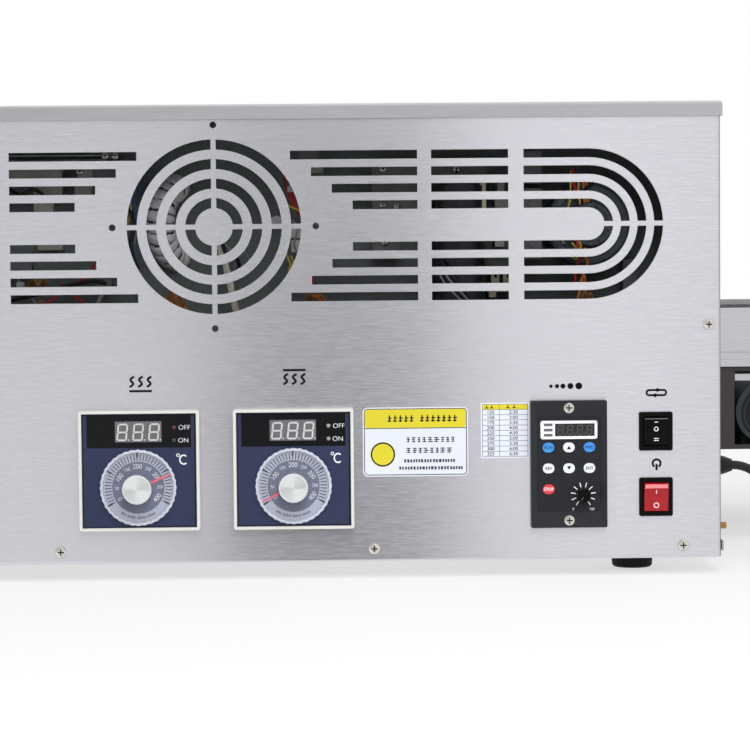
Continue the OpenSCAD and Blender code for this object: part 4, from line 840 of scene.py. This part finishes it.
def temperature_controller(name, pointer, lamps):
    case = centre_of(name + "_case")
    dial = centre_of(name + "_dial")
    front = front_of(name + "_face")
    dial_front = front_of(name + "_dial")

    # A black band over a dark edge, with the display's window and its unlit digits.
    Print(*case, front).bars(
        (-41.5, 18.35, 41.5, 44.2), (-44.9, 44.2, 44.9, 44.9), (-44.9, -44.9, 44.9, -44.4),
        (-44.9, -44.4, -44.4, 44.2), (44.2, -44.4, 44.9, 44.2),
    ).make(name + "_band", "glass_black", lift=GROUND)
    Print(*case, front).bars((-18.9, 22.9, 18.1, 39.45)).make(name + "_window", "window_grey", lift=MARKS)
    digits = Print(*case, front)
    for k in range(3):
        seven_segments(digits, -18.0 + 12.6 * k, 23.9, 8.4, 13.9, 1.3, 1.5)
    digits.make(name + "_digits", "segment_grey", lift=DIGITS)
    for z, material, place in ((34.5, lamps[0], "upper"), (24.2, lamps[1], "lower")):
        lens = [(1.6, front), (1.5, front - 0.35), (0.8, front - 0.7), (0, front - 0.8)]
        revolve(f"{name}_led_{place}", lens, case[0] + 28, case[1] + z, material, count=20, smooth=True)
    words = Print(*case, front)
    words.text("OFF", 36.2, 34.4, 3.5, wide=1.05, thin=0.014)
    words.text("ON", 35.4, 24.1, 3.5, wide=1.05, thin=0.014)
    # The sign for degrees Celsius.
    words.band(31.0, 12.2, 0.85, 1.4, n=24).band(35.5, 8.6, 2.6, 3.55, 48, 312, 32, 1.15)
    words.make(name + "_words", "print_white", lift=MARKS)

    # The scale that lies under the dial.
    Print(*dial, front).band(0, 0, SCALE_IN, SCALE_OUT, n=96).make(
        name + "_scale", "scale_grey", lift=GROUND)
    Print(*dial, front).disc(0, 0, SCALE_IN, 96).make(name + "_plate", "disc_violet", lift=GROUND)
    ticks = Print(*dial, front)
    for value in range(0, SCALE_END + 1, 10):
        ticks.spoke(SCALE_START - SCALE_TURN * value, 21.4, 26.6, 0.75)
        if value % 100 == 0:
            ticks.spoke(SCALE_START - SCALE_TURN * value, 24.0, 28.3, 1.5)
    # Fine lines in the gap between the scale's end and its start. Every seventh is short.
    for k in range(26):
        tall = 1.5 if k % 7 != 4 else 0.3
        ticks.spoke(236 + 68 * k / 25, 24.6 - tall, 24.6 + tall * 0.4, 0.6)
    ticks.make(name + "_ticks", "print_black", lift=MARKS)
    numbers = Print(*dial, front)
    for value, turn in NUMBER_TURNS.items():
        x, z = polar(17.0, SCALE_START - SCALE_TURN * value)
        numbers.text(str(value), x, z, 3.7 if value % 100 == 0 else 2.5, turn, 0.9, 0.014)
    numbers.make(name + "_numbers", "print_white", lift=MARKS)

    # The dial: a clear skirt with a wavy rim over the scale, a red pointer under it and a spun knob.
    body = name + "_dial"
    back = front - DIAL_FACE_GAP
    top = back - 2.4

    def wavy(k, angle):
        return 0.28 * cos(36 * angle) - 0.28

    def flutes(k, angle):
        return -0.22 * (1 - cos(60 * angle)) / 2 if k in (2, 3, 4) else 0.0

    revolve(body + "_rim", [(28.4, back), (29.9, back), (30.6, back - 0.7), (30.6, top + 0.6), (30.0, top),
                            (28.7, top), (28.3, top + 0.5), (28.4, back)],
            *dial, "rim_plastic", body, 288, wavy, slot="dial")
    revolve(body + "_window", [(0, top + 0.2), (28.5, top + 0.2), (28.5, top + 1.0), (0, top + 1.0)],
            *dial, "clear_plastic", body, 96, slot="dial")
    c, s = polar(1, pointer)
    Print(*dial, top + 1.4).shape(
        [(r * c - w * s, r * s + w * c) for r, w in ((10, -0.85), (28, -0.4), (28, 0.4), (10, 0.85))],
    ).make(body + "_pointer", "pointer_red", body, lift=0)
    revolve(body + "_knob", [
        (0, top + 1.8), (10.6, top + 1.8), (11.4, top + 0.6), (11.9, top - 1), (11.9, dial_front + 1.4),
        (11.5, dial_front + 0.4), (11.1, dial_front), (10.6, dial_front + 0.25), (4, dial_front + 0.3),
        (0, dial_front + 0.3),
    ], *dial, "spun_aluminium", body, 240, flutes, slot="dial", replaces=[body])


temperature_controller("bottom_heat", 21.7, ("led_off_red", "led_off_green"))
temperature_controller("top_heat", 206, ("led_clear", "led_clear"))


# ---- Speed controller ----

def print_on(node):
    """Print about the middle of a CAD node's front."""
    return Print(*centre_of(node), front_of(node))


SPEED_X, SPEED_Z = centre_of("speed_face")
SPEED_FRONT = front_of("speed_face")
print_on("speed_face").soft_bar(-22.7, 20.1, 22.9, 34.8, 1.8).make(
    "speed_display_frame", "print_white", lift=GROUND)
print_on("speed_face").bars(
    (-20.1, 30.5, -13.05, 32.7), (-20.1, 26.3, -13.05, 28.5), (-20.1, 22.2, -13.05, 24.4),
).make("speed_bars", "window_grey", lift=MARKS)
print_on("speed_face").bars((-11.1, 22.4, 20.7, 32.5)).make("speed_window", "window_dark", lift=MARKS)
speed_digits = print_on("speed_face")
for k in range(4):
    seven_segments(speed_digits, -9.2 + 7.7 * k, 23.6, 4.7, 7.6, 0.75, 0.6)
speed_digits.make("speed_digits", "segment_dim", lift=DIGITS)

# The knob's scale runs from 0 at the lower left, where the knob's own mark rests.
KNOB_X, KNOB_Z = centre_of("speed_knob")
KNOB_REST = 235.5
speed_scale = Print(KNOB_X, KNOB_Z, SPEED_FRONT)
for k in range(10):
    speed_scale.spoke(KNOB_REST - 32.3 * k, 6.2, 10.0, 0.75)
speed_scale.text("0", 3.3 + SPEED_X - KNOB_X, -36.25 + SPEED_Z - KNOB_Z, 2.0, thin=0.01)
speed_scale.text("100", 18.15 + SPEED_X - KNOB_X, -36.3 + SPEED_Z - KNOB_Z, 2.0, thin=0.01)
speed_scale.make("speed_scale", "print_white", lift=GROUND)

knob_front = front_of("speed_knob")
knob_back = SPEED_FRONT - 0.4


def knob_flutes(k, angle):
    return -0.45 * (1 - cos(18 * angle)) / 2 if 2 <= k <= 4 else 0.0


revolve("speed_knob_cap", [
    (0, knob_back), (5.4, knob_back), (6.0, knob_back - 0.5), (5.9, knob_back - 5), (5.6, knob_front + 1.2),
    (5.1, knob_front + 0.3), (4.4, knob_front), (0, knob_front),
], KNOB_X, KNOB_Z, "black_rocker", "speed_knob", 144, knob_flutes, slot="black_knob", replaces=["speed_knob"])
knob_mark = print_on("speed_knob")
knob_mark.spoke(KNOB_REST, 1.4, 4.6, 0.7)
knob_mark.make("speed_knob_mark", "segment_dim", "speed_knob", lift=ON_KEY)


for key, flip in (("raise_key", 1), ("lower_key", -1)):
    print_on(key).shape([(-1.7, -1.6 * flip), (1.7, -1.6 * flip), (0, 1.5 * flip)]).make(
        key + "_arrow", "print_black", key, lift=ON_KEY)
print_on("stop_key").text("STOP", 0, 0, 2.7, wide=0.9, thin=-0.01).make(
    "stop_key_word", "print_white", "stop_key", lift=ON_KEY)
for key, word, ink in (("run_key", "RUN", "print_navy"), ("forward_key", "FWD", "print_navy"),
                       ("reverse_key", "REV", "print_black"), ("enter_key", "ENT", "print_black")):
    print_on(key).text(word, 0, 0, 2.6, wide=0.9, thin=-0.02).make(key + "_word", ink, key, lift=ON_KEY)


# ---- Screw slots on the panel and the speed controller ----

def screw_crosses(name, depth, places):
    """Painted shade: dark floors in the cross recesses of pan head screws seated at this depth."""
    long, thin = 2.58, 0.48
    crosses = Print(0, 0, depth - 1.1)
    for x, z in places:
        crosses.bars((x - long, z - thin, x + long, z + thin), (x - thin, z - long, x + thin, z + long))
    crosses.make(name, "slot_shade", lift=0.02)


low_row = PANEL_LOW.z - GRILLE + 10.2
screw_crosses("panel_screw_crosses", 0, [(side * x, z) for side in (-1, 1) for x, z in (
    (125.5, low_row), (PANEL_HIGH.x - 30.4, low_row), (PANEL_HIGH.x - 9.4, -81.3))])
speed_x, speed_z = centre_of("speed_case")
speed_low, speed_high = box_mm("speed_case")
speed_screw = (speed_high.z - speed_low.z) / 2 - 5.8
screw_crosses("speed_screw_crosses", SPEED_FRONT - 1.2,
              [(speed_x, speed_z + side * speed_screw) for side in (-1, 1)])


# ---- Rocker switches: marks and painted highlights on each rocker's hollow face ----

def rocker_marks(rocker, ending, tilt, drawn, material):
    """Lays what is drawn about a rocker's pivot over the rocker's hollow face."""
    pivot = JOINT[rocker.replace("rocker", "rock")]
    lean = radians(tilt)
    verts = []
    for x, z in drawn.points:
        # The face is 3 mm over the pivot in the middle and 4.2 mm at its ends.
        y = -(3.0 + 1.2 * min(1.0, abs(z) / 11.5)) - 0.05
        turned_y = y * cos(lean) - z * sin(lean)
        turned_z = y * sin(lean) + z * cos(lean)
        verts.append(point(pivot.x + x, pivot.y + turned_y, pivot.z + turned_z))
    mesh_piece(rocker + ending, verts, drawn.faces, material, rocker)


rocker_marks("direction_rocker", "_marks", 0,
             Print().bars((-1.4, 7.2, 1.4, 7.8)).band(0, 1.9, 1.2, 1.9, n=24)
             .bars((-1.9, -6.0, 1.9, -5.4), (-1.9, -7.6, 1.9, -7.0)), "print_white")
# A painted highlight along the black rocker's top edge.
rocker_marks("direction_rocker", "_ridge_highlight", 0,
             Print().bars((-9.4, 9.9, 9.4, 10.5)), "ridge_grey")
rocker_marks("power_rocker", "_marks", 10,
             Print().bars((-0.3, 3.2, 0.3, 6.4)).band(0, -6.2, 1.6, 2.2, n=24), "print_white")
# A painted highlight on the red rocker's top ledge.
rocker_marks("power_rocker", "_ledge_highlight", 10,
             Print().bars((-9.6, 8.0, 9.6, 8.5), (-9.0, 8.5, 9.0, 11.0), (-9.6, 11.0, 9.6, 11.3)),
             "ledge_highlight_red")


# ---- Mesh belt: rows of zigzag wire joined by straight rods ----

belt_low, belt_high = box_mm("mesh_belt")
belt_axis = JOINT["drive_roller_spin"]
belt_end = belt_axis.x
# The radius of the zigzag wires and of the rods between them.
BELT_WIRE, BELT_ROD = 0.75, 0.7
belt_r = (belt_high.z - belt_low.z) / 2 - 1.2
belt_lap = 4 * belt_end + 2 * pi * belt_r


def belt_point(s, lift):
    """X and Z at a length along the loop, at a height over the belt's middle surface."""
    s %= belt_lap
    r = belt_r + lift
    straight = 2 * belt_end
    if s < straight:
        return belt_end - s, belt_axis.z + r
    s -= straight
    if s < pi * belt_r:
        a = pi / 2 + s / belt_r
        return -belt_end + r * cos(a), belt_axis.z + r * sin(a)
    s -= pi * belt_r
    if s < straight:
        return -belt_end + s, belt_axis.z - r
    a = -pi / 2 + (s - straight) / belt_r
    return belt_end + r * cos(a), belt_axis.z + r * sin(a)


def add_rod(line, r):
    """Adds a thin tube along a line whose points run across the belt; its rings stand along X and Z."""
    start, sides = len(belt_verts), 4
    for i, place in enumerate(line):
        way = (line[min(i + 1, len(line) - 1)] - line[max(i - 1, 0)]).normalized()
        side = way.cross(Vector((0, 0, 1)))
        side = side.normalized() if side.length > 0.01 else Vector((1, 0, 0))
        up = way.cross(side).normalized()
        for k in range(sides):
            a = 2 * pi * (k + 0.5) / sides
            belt_verts.append((place + r * (cos(a) * side + sin(a) * up)) * MM)
    belt_faces.extend([a, d, c, b] for a, b, c, d in ring_faces(sides, len(line), start))
    belt_faces.append([start + k for k in range(sides)])
    belt_faces.append([start + (len(line) - 1) * sides + k for k in range(sides - 1, -1, -1)])


belt_rows = round(belt_lap / 12)
row_pitch = belt_lap / belt_rows
zigzags = round((belt_high.y - belt_low.y) / 10)
belt_verts, belt_faces = [], []
near, far = belt_low.y + 0.9, belt_high.y - 0.9
# The zigzags reach a little past their row on both sides, over and under the next one.
for row in range(belt_rows):
    line = []
    for k in range(zigzags + 1):
        sway = 1 if k % 2 else -1
        x, z = belt_point((row + 0.56 * sway) * row_pitch, 0.3 * sway)
        line.append(Vector((x, near + k * (far - near) / zigzags, z)))
    add_rod(line, BELT_WIRE)
    x, z = belt_point((row + 0.5) * row_pitch, 0)
    add_rod([Vector((x, y, z)) for y in (near, far)], BELT_ROD)
mesh_piece("belt_weave", belt_verts, belt_faces, "belt_mesh", slot="belt_mesh", replaces=["mesh_belt"])


# ---- Details on the drive at the right end ----

drive_x, drive_z = centre_of("gear_motor")
drive_front = front_of("gear_motor")
revolve("motor_end_shade", [(23.4, drive_front - 0.1), (23.4, drive_front - 0.2), (0, drive_front - 0.2)],
        drive_x, drive_z, "gland_nylon")
revolve("motor_end_ring", [(21.8, drive_front - 0.25), (21.4, drive_front - 0.9), (20.4, drive_front - 0.9),
                           (20, drive_front - 0.25)], drive_x, drive_z, "motor_paint")


# ---- Behind the grille ----

BAY = box_mm("bulkhead")[0].y - FACE

duct_low, duct_high = box_mm("foil_duct")
# The bent duct stands out of the bulkhead and leans to the side.
DUCT_X, DUCT_R, DUCT_BEND = -36, 13, 29
LEAN_C, LEAN_S = polar(1, 28)
duct_mid = (duct_low.z + duct_high.z) / 2 - GRILLE
duct_verts = []
DUCT_STEPS, DUCT_SIDES, DUCT_RIB = 120, 48, 10
for i in range(DUCT_STEPS + 1):
    t = pi * (i / DUCT_STEPS - 0.5)
    for k in range(DUCT_SIDES):
        a = 2 * pi * k / DUCT_SIDES
        crease = 1 - abs(sin(pi * i / DUCT_RIB + 0.5 * sin(a)))
        r = DUCT_R - 0.3 - 2.4 * crease ** 2 - random.uniform(0, 0.25)
        out = (DUCT_BEND + cos(a) * r) * cos(t)
        side = sin(a) * r
        duct_verts.append(spot(DUCT_X - out * LEAN_S + side * LEAN_C,
                               duct_mid + (DUCT_BEND + cos(a) * r) * sin(t),
                               min(BAY, BAY - out * LEAN_C - side * LEAN_S)))
duct = mesh_piece("foil_duct_ribbed", duct_verts, ring_faces(DUCT_SIDES, DUCT_STEPS + 1), "duct_foil",
                  slot="duct_foil", replaces=["foil_duct"], smooth=True)
# The creases between the ribs are in shade.
duct.data.materials.append(MATERIAL["capacitor_case"])
for n, face in enumerate(duct.data.polygons):
    i, a = n // DUCT_SIDES, 2 * pi * (n % DUCT_SIDES + 0.5) / DUCT_SIDES
    if abs(sin(pi * (i + 0.5) / DUCT_RIB + 0.5 * sin(a))) < 0.22 + 0.16 * sin(3 * a + i):
        face.material_index = 1


def bay_boxes(name, boxes, material):
    """Boxes as X and height of two corners and the depth of the front. Where no depth of the back
    follows, they reach to the bulkhead."""
    verts, faces = [], []
    for x0, z0, x1, z1, near, *end in boxes:
        far = end[0] if end else BAY
        start = len(verts)
        verts += [spot(x, z, d) for d in (near, far) for x, z in ((x0, z0), (x1, z0), (x1, z1), (x0, z1))]
        faces += [[start + k for k in face] for face in
                  ((0, 1, 2, 3), (7, 6, 5, 4), (0, 4, 5, 1), (1, 5, 6, 2), (2, 6, 7, 3), (3, 7, 4, 0))]
    mesh_piece(name, verts, faces, material)


def screw_heads(name, places, r, material):
    """Domed heads at (X, height, depth), each with a dark cross of slots painted on as shade."""
    count = 20
    verts, faces = [], []
    for x, z, d in places:
        start = len(verts)
        for radius, out in ((r, 0), (r * 0.96, 0.3 * r), (r * 0.7, 0.52 * r), (r * 0.1, 0.6 * r)):
            verts += [spot(x + radius * cos(2 * pi * k / count),
                           z + radius * sin(2 * pi * k / count), d - out) for k in range(count)]
        faces += ring_faces(count, 4, start)
        faces.append([start + 3 * count + k for k in range(count)])
        long, thin = 0.5 * r, 0.1 * r
        Print(x, z, d - 0.56 * r).bars((-long, -thin, long, thin), (-thin, -long, thin, long)).make(
            f"{name}_cross", "print_black", lift=0.08 * r)
    mesh_piece(name, verts, faces, material, smooth=True)


def bay_wires(name, lines, r, material):
    """Wires through points of (X, height, depth)."""
    paths = [smooth_line([spot(*place) for place in line], 6) for line in lines]
    curve_piece(name, paths, r, material, sides=3)


# Plates, boxes and clips on the bulkhead.
bay_boxes("bay_plates_grey", [
    (-178, 40, -132, 57, 118), (-119, 38, -107, 57, 122), (-156, 26, -132, 39, 124),
    (-121, 22, -107, 37, 116), (-156, 12, -139.5, 24, 122), (-153, -17.5, -132, -6, 122),
    (233.5, 26, 239.5, 37, 104), (231.5, 12, 243.5, 23, 106), (231.5, -18, 239, -10, 106),
    (77.5, 45.5, 88, 54, 112),
], "plate_grey")
bay_boxes("bay_plates_dark", [
    (129, 8, 166.5, 53, 119), (176, 39, 226, 57, 124), (68, 54, 84, 66, 118),
    (-109, 38, -88, 57, 126), (-109, 24, -96, 37, 128), (-105, -50, -90, -38, 104, 124),
    (340, -60, 352, -30, 112), (-178, -36, -158, -24, 118),
], "plate_dark")
bay_boxes("bay_rail", [(-182, 61.2, -96, 62.4, 126), (-182, 57.8, -96, 58.6, 128)], "zinc_sheet")
bay_boxes("motor_clamp", [(449.8, drive_z + 29.4, 507, drive_z + 35.2, drive_front + 1, drive_front + 5)],
          "rail_aluminium")
bay_boxes("bay_posts", [(217.5, 11, 222.5, 36, 80, 84), (226.6, -60.5, 232.4, -54.5, 112)],
          "terminal_plastic")
bay_boxes("bay_connectors", [
    (57.6, 29.5, 63, 34.5, 108, 120), (59, -9, 68.5, -1, 108, 122), (60.5, -21, 70, -11, 108, 124),
    (-170.5, -49, -164.5, -44, 112, 122),
], "wire_white")
screw_heads("bay_screws", [
    (138.2, 48.2, 118.6), (137.9, 18, 118.6), (149.7, 17, 118.6), (139.4, -14, 119.6), (200.5, 47.7, 123.6),
    (-94.6, 60.8, 112), (-86.2, 60.7, 112), (-116.9, 48.3, 121.5),
], 3.2, "screw_steel")
bay_boxes("bay_screw_seat", [(129, -26, 152, -8, 120), (-97.5, 58.5, -83, 63.5, 112)], "plate_dark")
# Black bars over the terminal blocks' openings: painted shade.
port_shade = Print(0, -46, front_of("terminal_blocks"))
for x in (226.2, 236.2):
    port_shade.bars((x, -8, x + 2.6, 6), (x + 5.6, 2, x + 7.4, 6))
port_shade.make("terminal_port_shade", "print_black")

# Loose wiring: each wire is a line from one holder to another.
bay_wires("wires_red", [
    [(-103, -25, 122), (-106.5, -33, 112), (-113.4, -41, 108), (-129, -51, 107), (-143.8, -61.7, 108),
     (-162, -78, 116)],
    [(-133, -46, 120), (-124, -55.3, 112), (-114.1, -62.1, 112), (-106, -74, 120)],
    [(54, 44, 122), (58.1, 29, 112), (62, 20, 110), (66.4, 13, 112), (73, 2, 120)],
    [(60, 40, 120), (62.5, 25, 111), (68, 17, 112), (77, 10, 122)],
    [(78, -36, 124), (78.4, -44.6, 118), (76, -54, 118), (70, -70, 124)],
    [(294, 46, 70), (294.2, 32.3, 66), (296.5, 27.2, 66), (298.5, 21, 66)],
    [(292, -6, 52), (295, -14, 53), (296.5, -21, 55), (299, -27, 64), (296.5, -33, 66), (294, -52, 70)],
], 1.0, "wire_red")
bay_wires("wires_yellow", [
    [(54, 22, 118), (58.9, 17.7, 110), (68, 13.8, 111), (76, 12, 120)],
    [(55, -20, 116), (57.6, -26, 110), (59.5, -32, 110), (58, -38, 112), (66, -52, 122)],
    [(60, -24, 112), (62, -30, 111), (60.4, -38, 114), (67, -50, 122)],
    [(-76, 30, 116), (-73.4, 15.5, 110), (-77, 4, 116)],
    [(-76, -14, 116), (-73.2, -20.5, 110), (-77, -30, 116)],
    [(292, 44, 70), (291.2, 28, 66), (290.6, 19, 66), (289, 13, 66)],
    [(299, 40, 70), (297.6, 27, 66), (298.8, 18.8, 65), (298.6, 13, 64)],
    [(289, -8, 53), (294.6, -13, 54), (298.6, -17.5, 54), (295.5, -22, 55), (292.2, -25.5, 64),
     (295, -29, 66), (297.6, -25, 66), (295, -20, 56), (291, -15, 54)],
], 0.8, "wire_yellow")
bay_wires("wires_orange", [
    [(302, 36, 70), (302.8, 20, 65), (303, 13, 60)], [(305, 36, 72), (305.4, 20, 64), (305.6, 16, 60)],
    [(302, -20, 56), (302.8, -26, 66), (305.2, -32, 68), (302.4, -41, 70), (299.8, -48, 72),
     (299.2, -55.7, 74), (296, -66, 78), (289, -80, 90)],
    [(298, -36, 70), (303.4, -44.4, 70), (301.6, -50, 74), (306, -58, 80), (311, -66, 90)],
    [(-56, -74, 122), (-44, -58, 112), (-38, -53.5, 108), (-34, -60, 110), (-40, -65, 112),
     (-30, -66, 112), (-24, -78, 122)],
    [(-52, -78, 122), (-42, -64, 112), (-36.5, -58, 107), (-31.5, -55.5, 110), (-33, -65, 111),
     (-26, -74, 122)],
    [(66, -74, 124), (74, -62, 118), (78, -57.5, 114), (83, -60, 114), (87, -64, 118), (94, -76, 124)],
    [(70, -76, 124), (76, -63, 118), (80, -58.5, 113), (86, -58.5, 116), (90, -70, 122)],
], 1.1, "wire_orange")
bay_wires("wires_copper", [
    [(-43, -70, 112), (-42, -55, 108), (-39.5, -53, 107), (-38, -62, 109), (-37, -69, 112)],
    [(-38, -72, 112), (-36, -60, 107), (-34, -56, 107), (-31.5, -62, 109), (-31, -72, 113)],
    [(300, -70, 82), (302.5, -58, 76), (304.5, -57, 76), (306, -68, 82)],
    [(306, -70, 84), (307.5, -59, 78), (309.5, -59, 78), (311, -70, 84)],
    [(72, -68, 118), (74, -58, 114), (76, -57, 114), (78, -68, 118)],
    [(-160, -47, 112), (-155, -42, 108), (-152, -47, 107), (-149, -42, 108), (-145, -46, 112)],
    [(-158, -44, 112), (-153, -48, 107), (-150, -43, 108), (-147, -48, 112)],
    [(-154, -66, 112), (-150, -60, 108), (-147, -64, 112)],
], 1.5, "copper")
bay_wires("wires_blue", [
    [(-70, 58, 124), (-72, 30, 112), (-69.5, 8, 108), (-72.5, -10, 110), (-69, -30, 112), (-66, -56, 122)],
    [(-64, 60, 124), (-67, 36, 113), (-65.5, 26, 110)],
], 1.5, "wire_blue")
bay_wires("wires_grey", [
    [(-66, 60, 124), (-70, 36, 113), (-74, 16, 111), (-70, -6, 111), (-73, -26, 112), (-62, -48, 122)],
    [(186, -36, 66), (189.6, -43.5, 62), (196.2, -51, 61), (208.5, -64.4, 62), (218, -76, 70)],
    [(182, -38, 66), (185.6, -46, 62), (192.2, -54, 61), (204.5, -66.4, 62), (214, -78, 70)],
    [(-99, -42, 112), (-97.7, -54.6, 108), (-102, -62.1, 108), (-108, -76, 116)],
    [(62, 6, 112), (66, -2, 106), (63, -14, 106), (66, -24, 110)],
    [(10, -18, 112), (16, -22.5, 108), (21, -20, 112), (26, -30, 120)],
    [(-172, -38, 120), (-160, -56, 112), (-150, -66, 114)],
    [(4, -12, 116), (9, -19, 108), (13, -27, 110), (12, -38, 118)],
], 0.8, "wire_grey")
bay_wires("wires_black", [
    [(-176, 34, 118), (-166, 29, 108), (-154, 33, 112), (-146, 27, 120)],
    [(-178, -60, 118), (-150, -54, 106), (-120, -46, 104), (-100, -44, 102), (-84, -52, 116)],
    [(-76, 20, 114), (-70.5, 4, 106), (-74, -14, 108), (-68, -34, 112)],
    [(2, -12, 118), (6, -22, 106), (14, -25, 108), (18, -38, 120)],
    [(310, 34, 70), (300, 26, 64), (293, 24, 66), (283, 30, 74)],
    [(184, -30, 72), (196, -44, 64), (206, -58, 64), (212, -74, 74)],
], 1.7, "wire_black")


def ribbon(name, line, width, material):
    """A flat strap through points of (X, height, depth), its width along X."""
    thick = 0.6 * MM
    middle = smooth_line([spot(*place) for place in line], 8)
    verts = []
    for k, centre in enumerate(middle):
        half = width / 2 * (1 + 0.08 * sin(k * 1.3)) * MM
        verts += [centre + Vector(side) for side in
                  ((-half, 0, 0), (0, -thick, 0), (half, 0, 0), (0, thick, 0))]
    faces = ring_faces(4, len(middle)) + [[3, 2, 1, 0], [4 * (len(middle) - 1) + i for i in range(4)]]
    mesh_piece(name, verts, faces, material)


ribbon("bay_sleeve", [(-4, -8, 124), (0.5, -18, 112), (4.5, -29, 108), (8.3, -45, 107), (11.3, -60, 108),
                      (15, -76, 116)], 5.4, "woven_sleeve")
ribbon("bay_tail", [(-96, -46, 112), (-98.5, -54.6, 106), (-102, -62.1, 106), (-107, -74, 114)], 3.2, "strap")

# The fan motors' noses: a turned cap with rings, a collar, and its screws.
NOSE = [
    (18.4, 62), (18.4, 57.6), (17.4, 56.7), (14.6, 56.7), (14.2, 57.6), (12.6, 57.6), (12.2, 56.9),
    (7.4, 56.9), (7, 57.7), (4.2, 57.7), (3.8, 56.5), (0, 56.3),
]
COLLAR = [(33.2, 75.4), (33.2, 73.6), (32, 72.6), (27.6, 72.6), (27, 73.8), (22, 74.4), (19, 72)]
for name in ("left", "right"):
    x = JOINT[name + "_impeller_spin"].x
    revolve(name + "_fan_nose", NOSE, x, 0, "nose_steel", slot="motor_steel")
    revolve(name + "_fan_collar", COLLAR, x, 0, "motor_steel", slot="motor_steel")
    ring = [polar(25, angle) for angle in (35, 125, 215, 305)]
    screw_heads(name + "_fan_screws", [(x + across, up, 74.2) for across, up in ring], 2.2, "screw_steel")
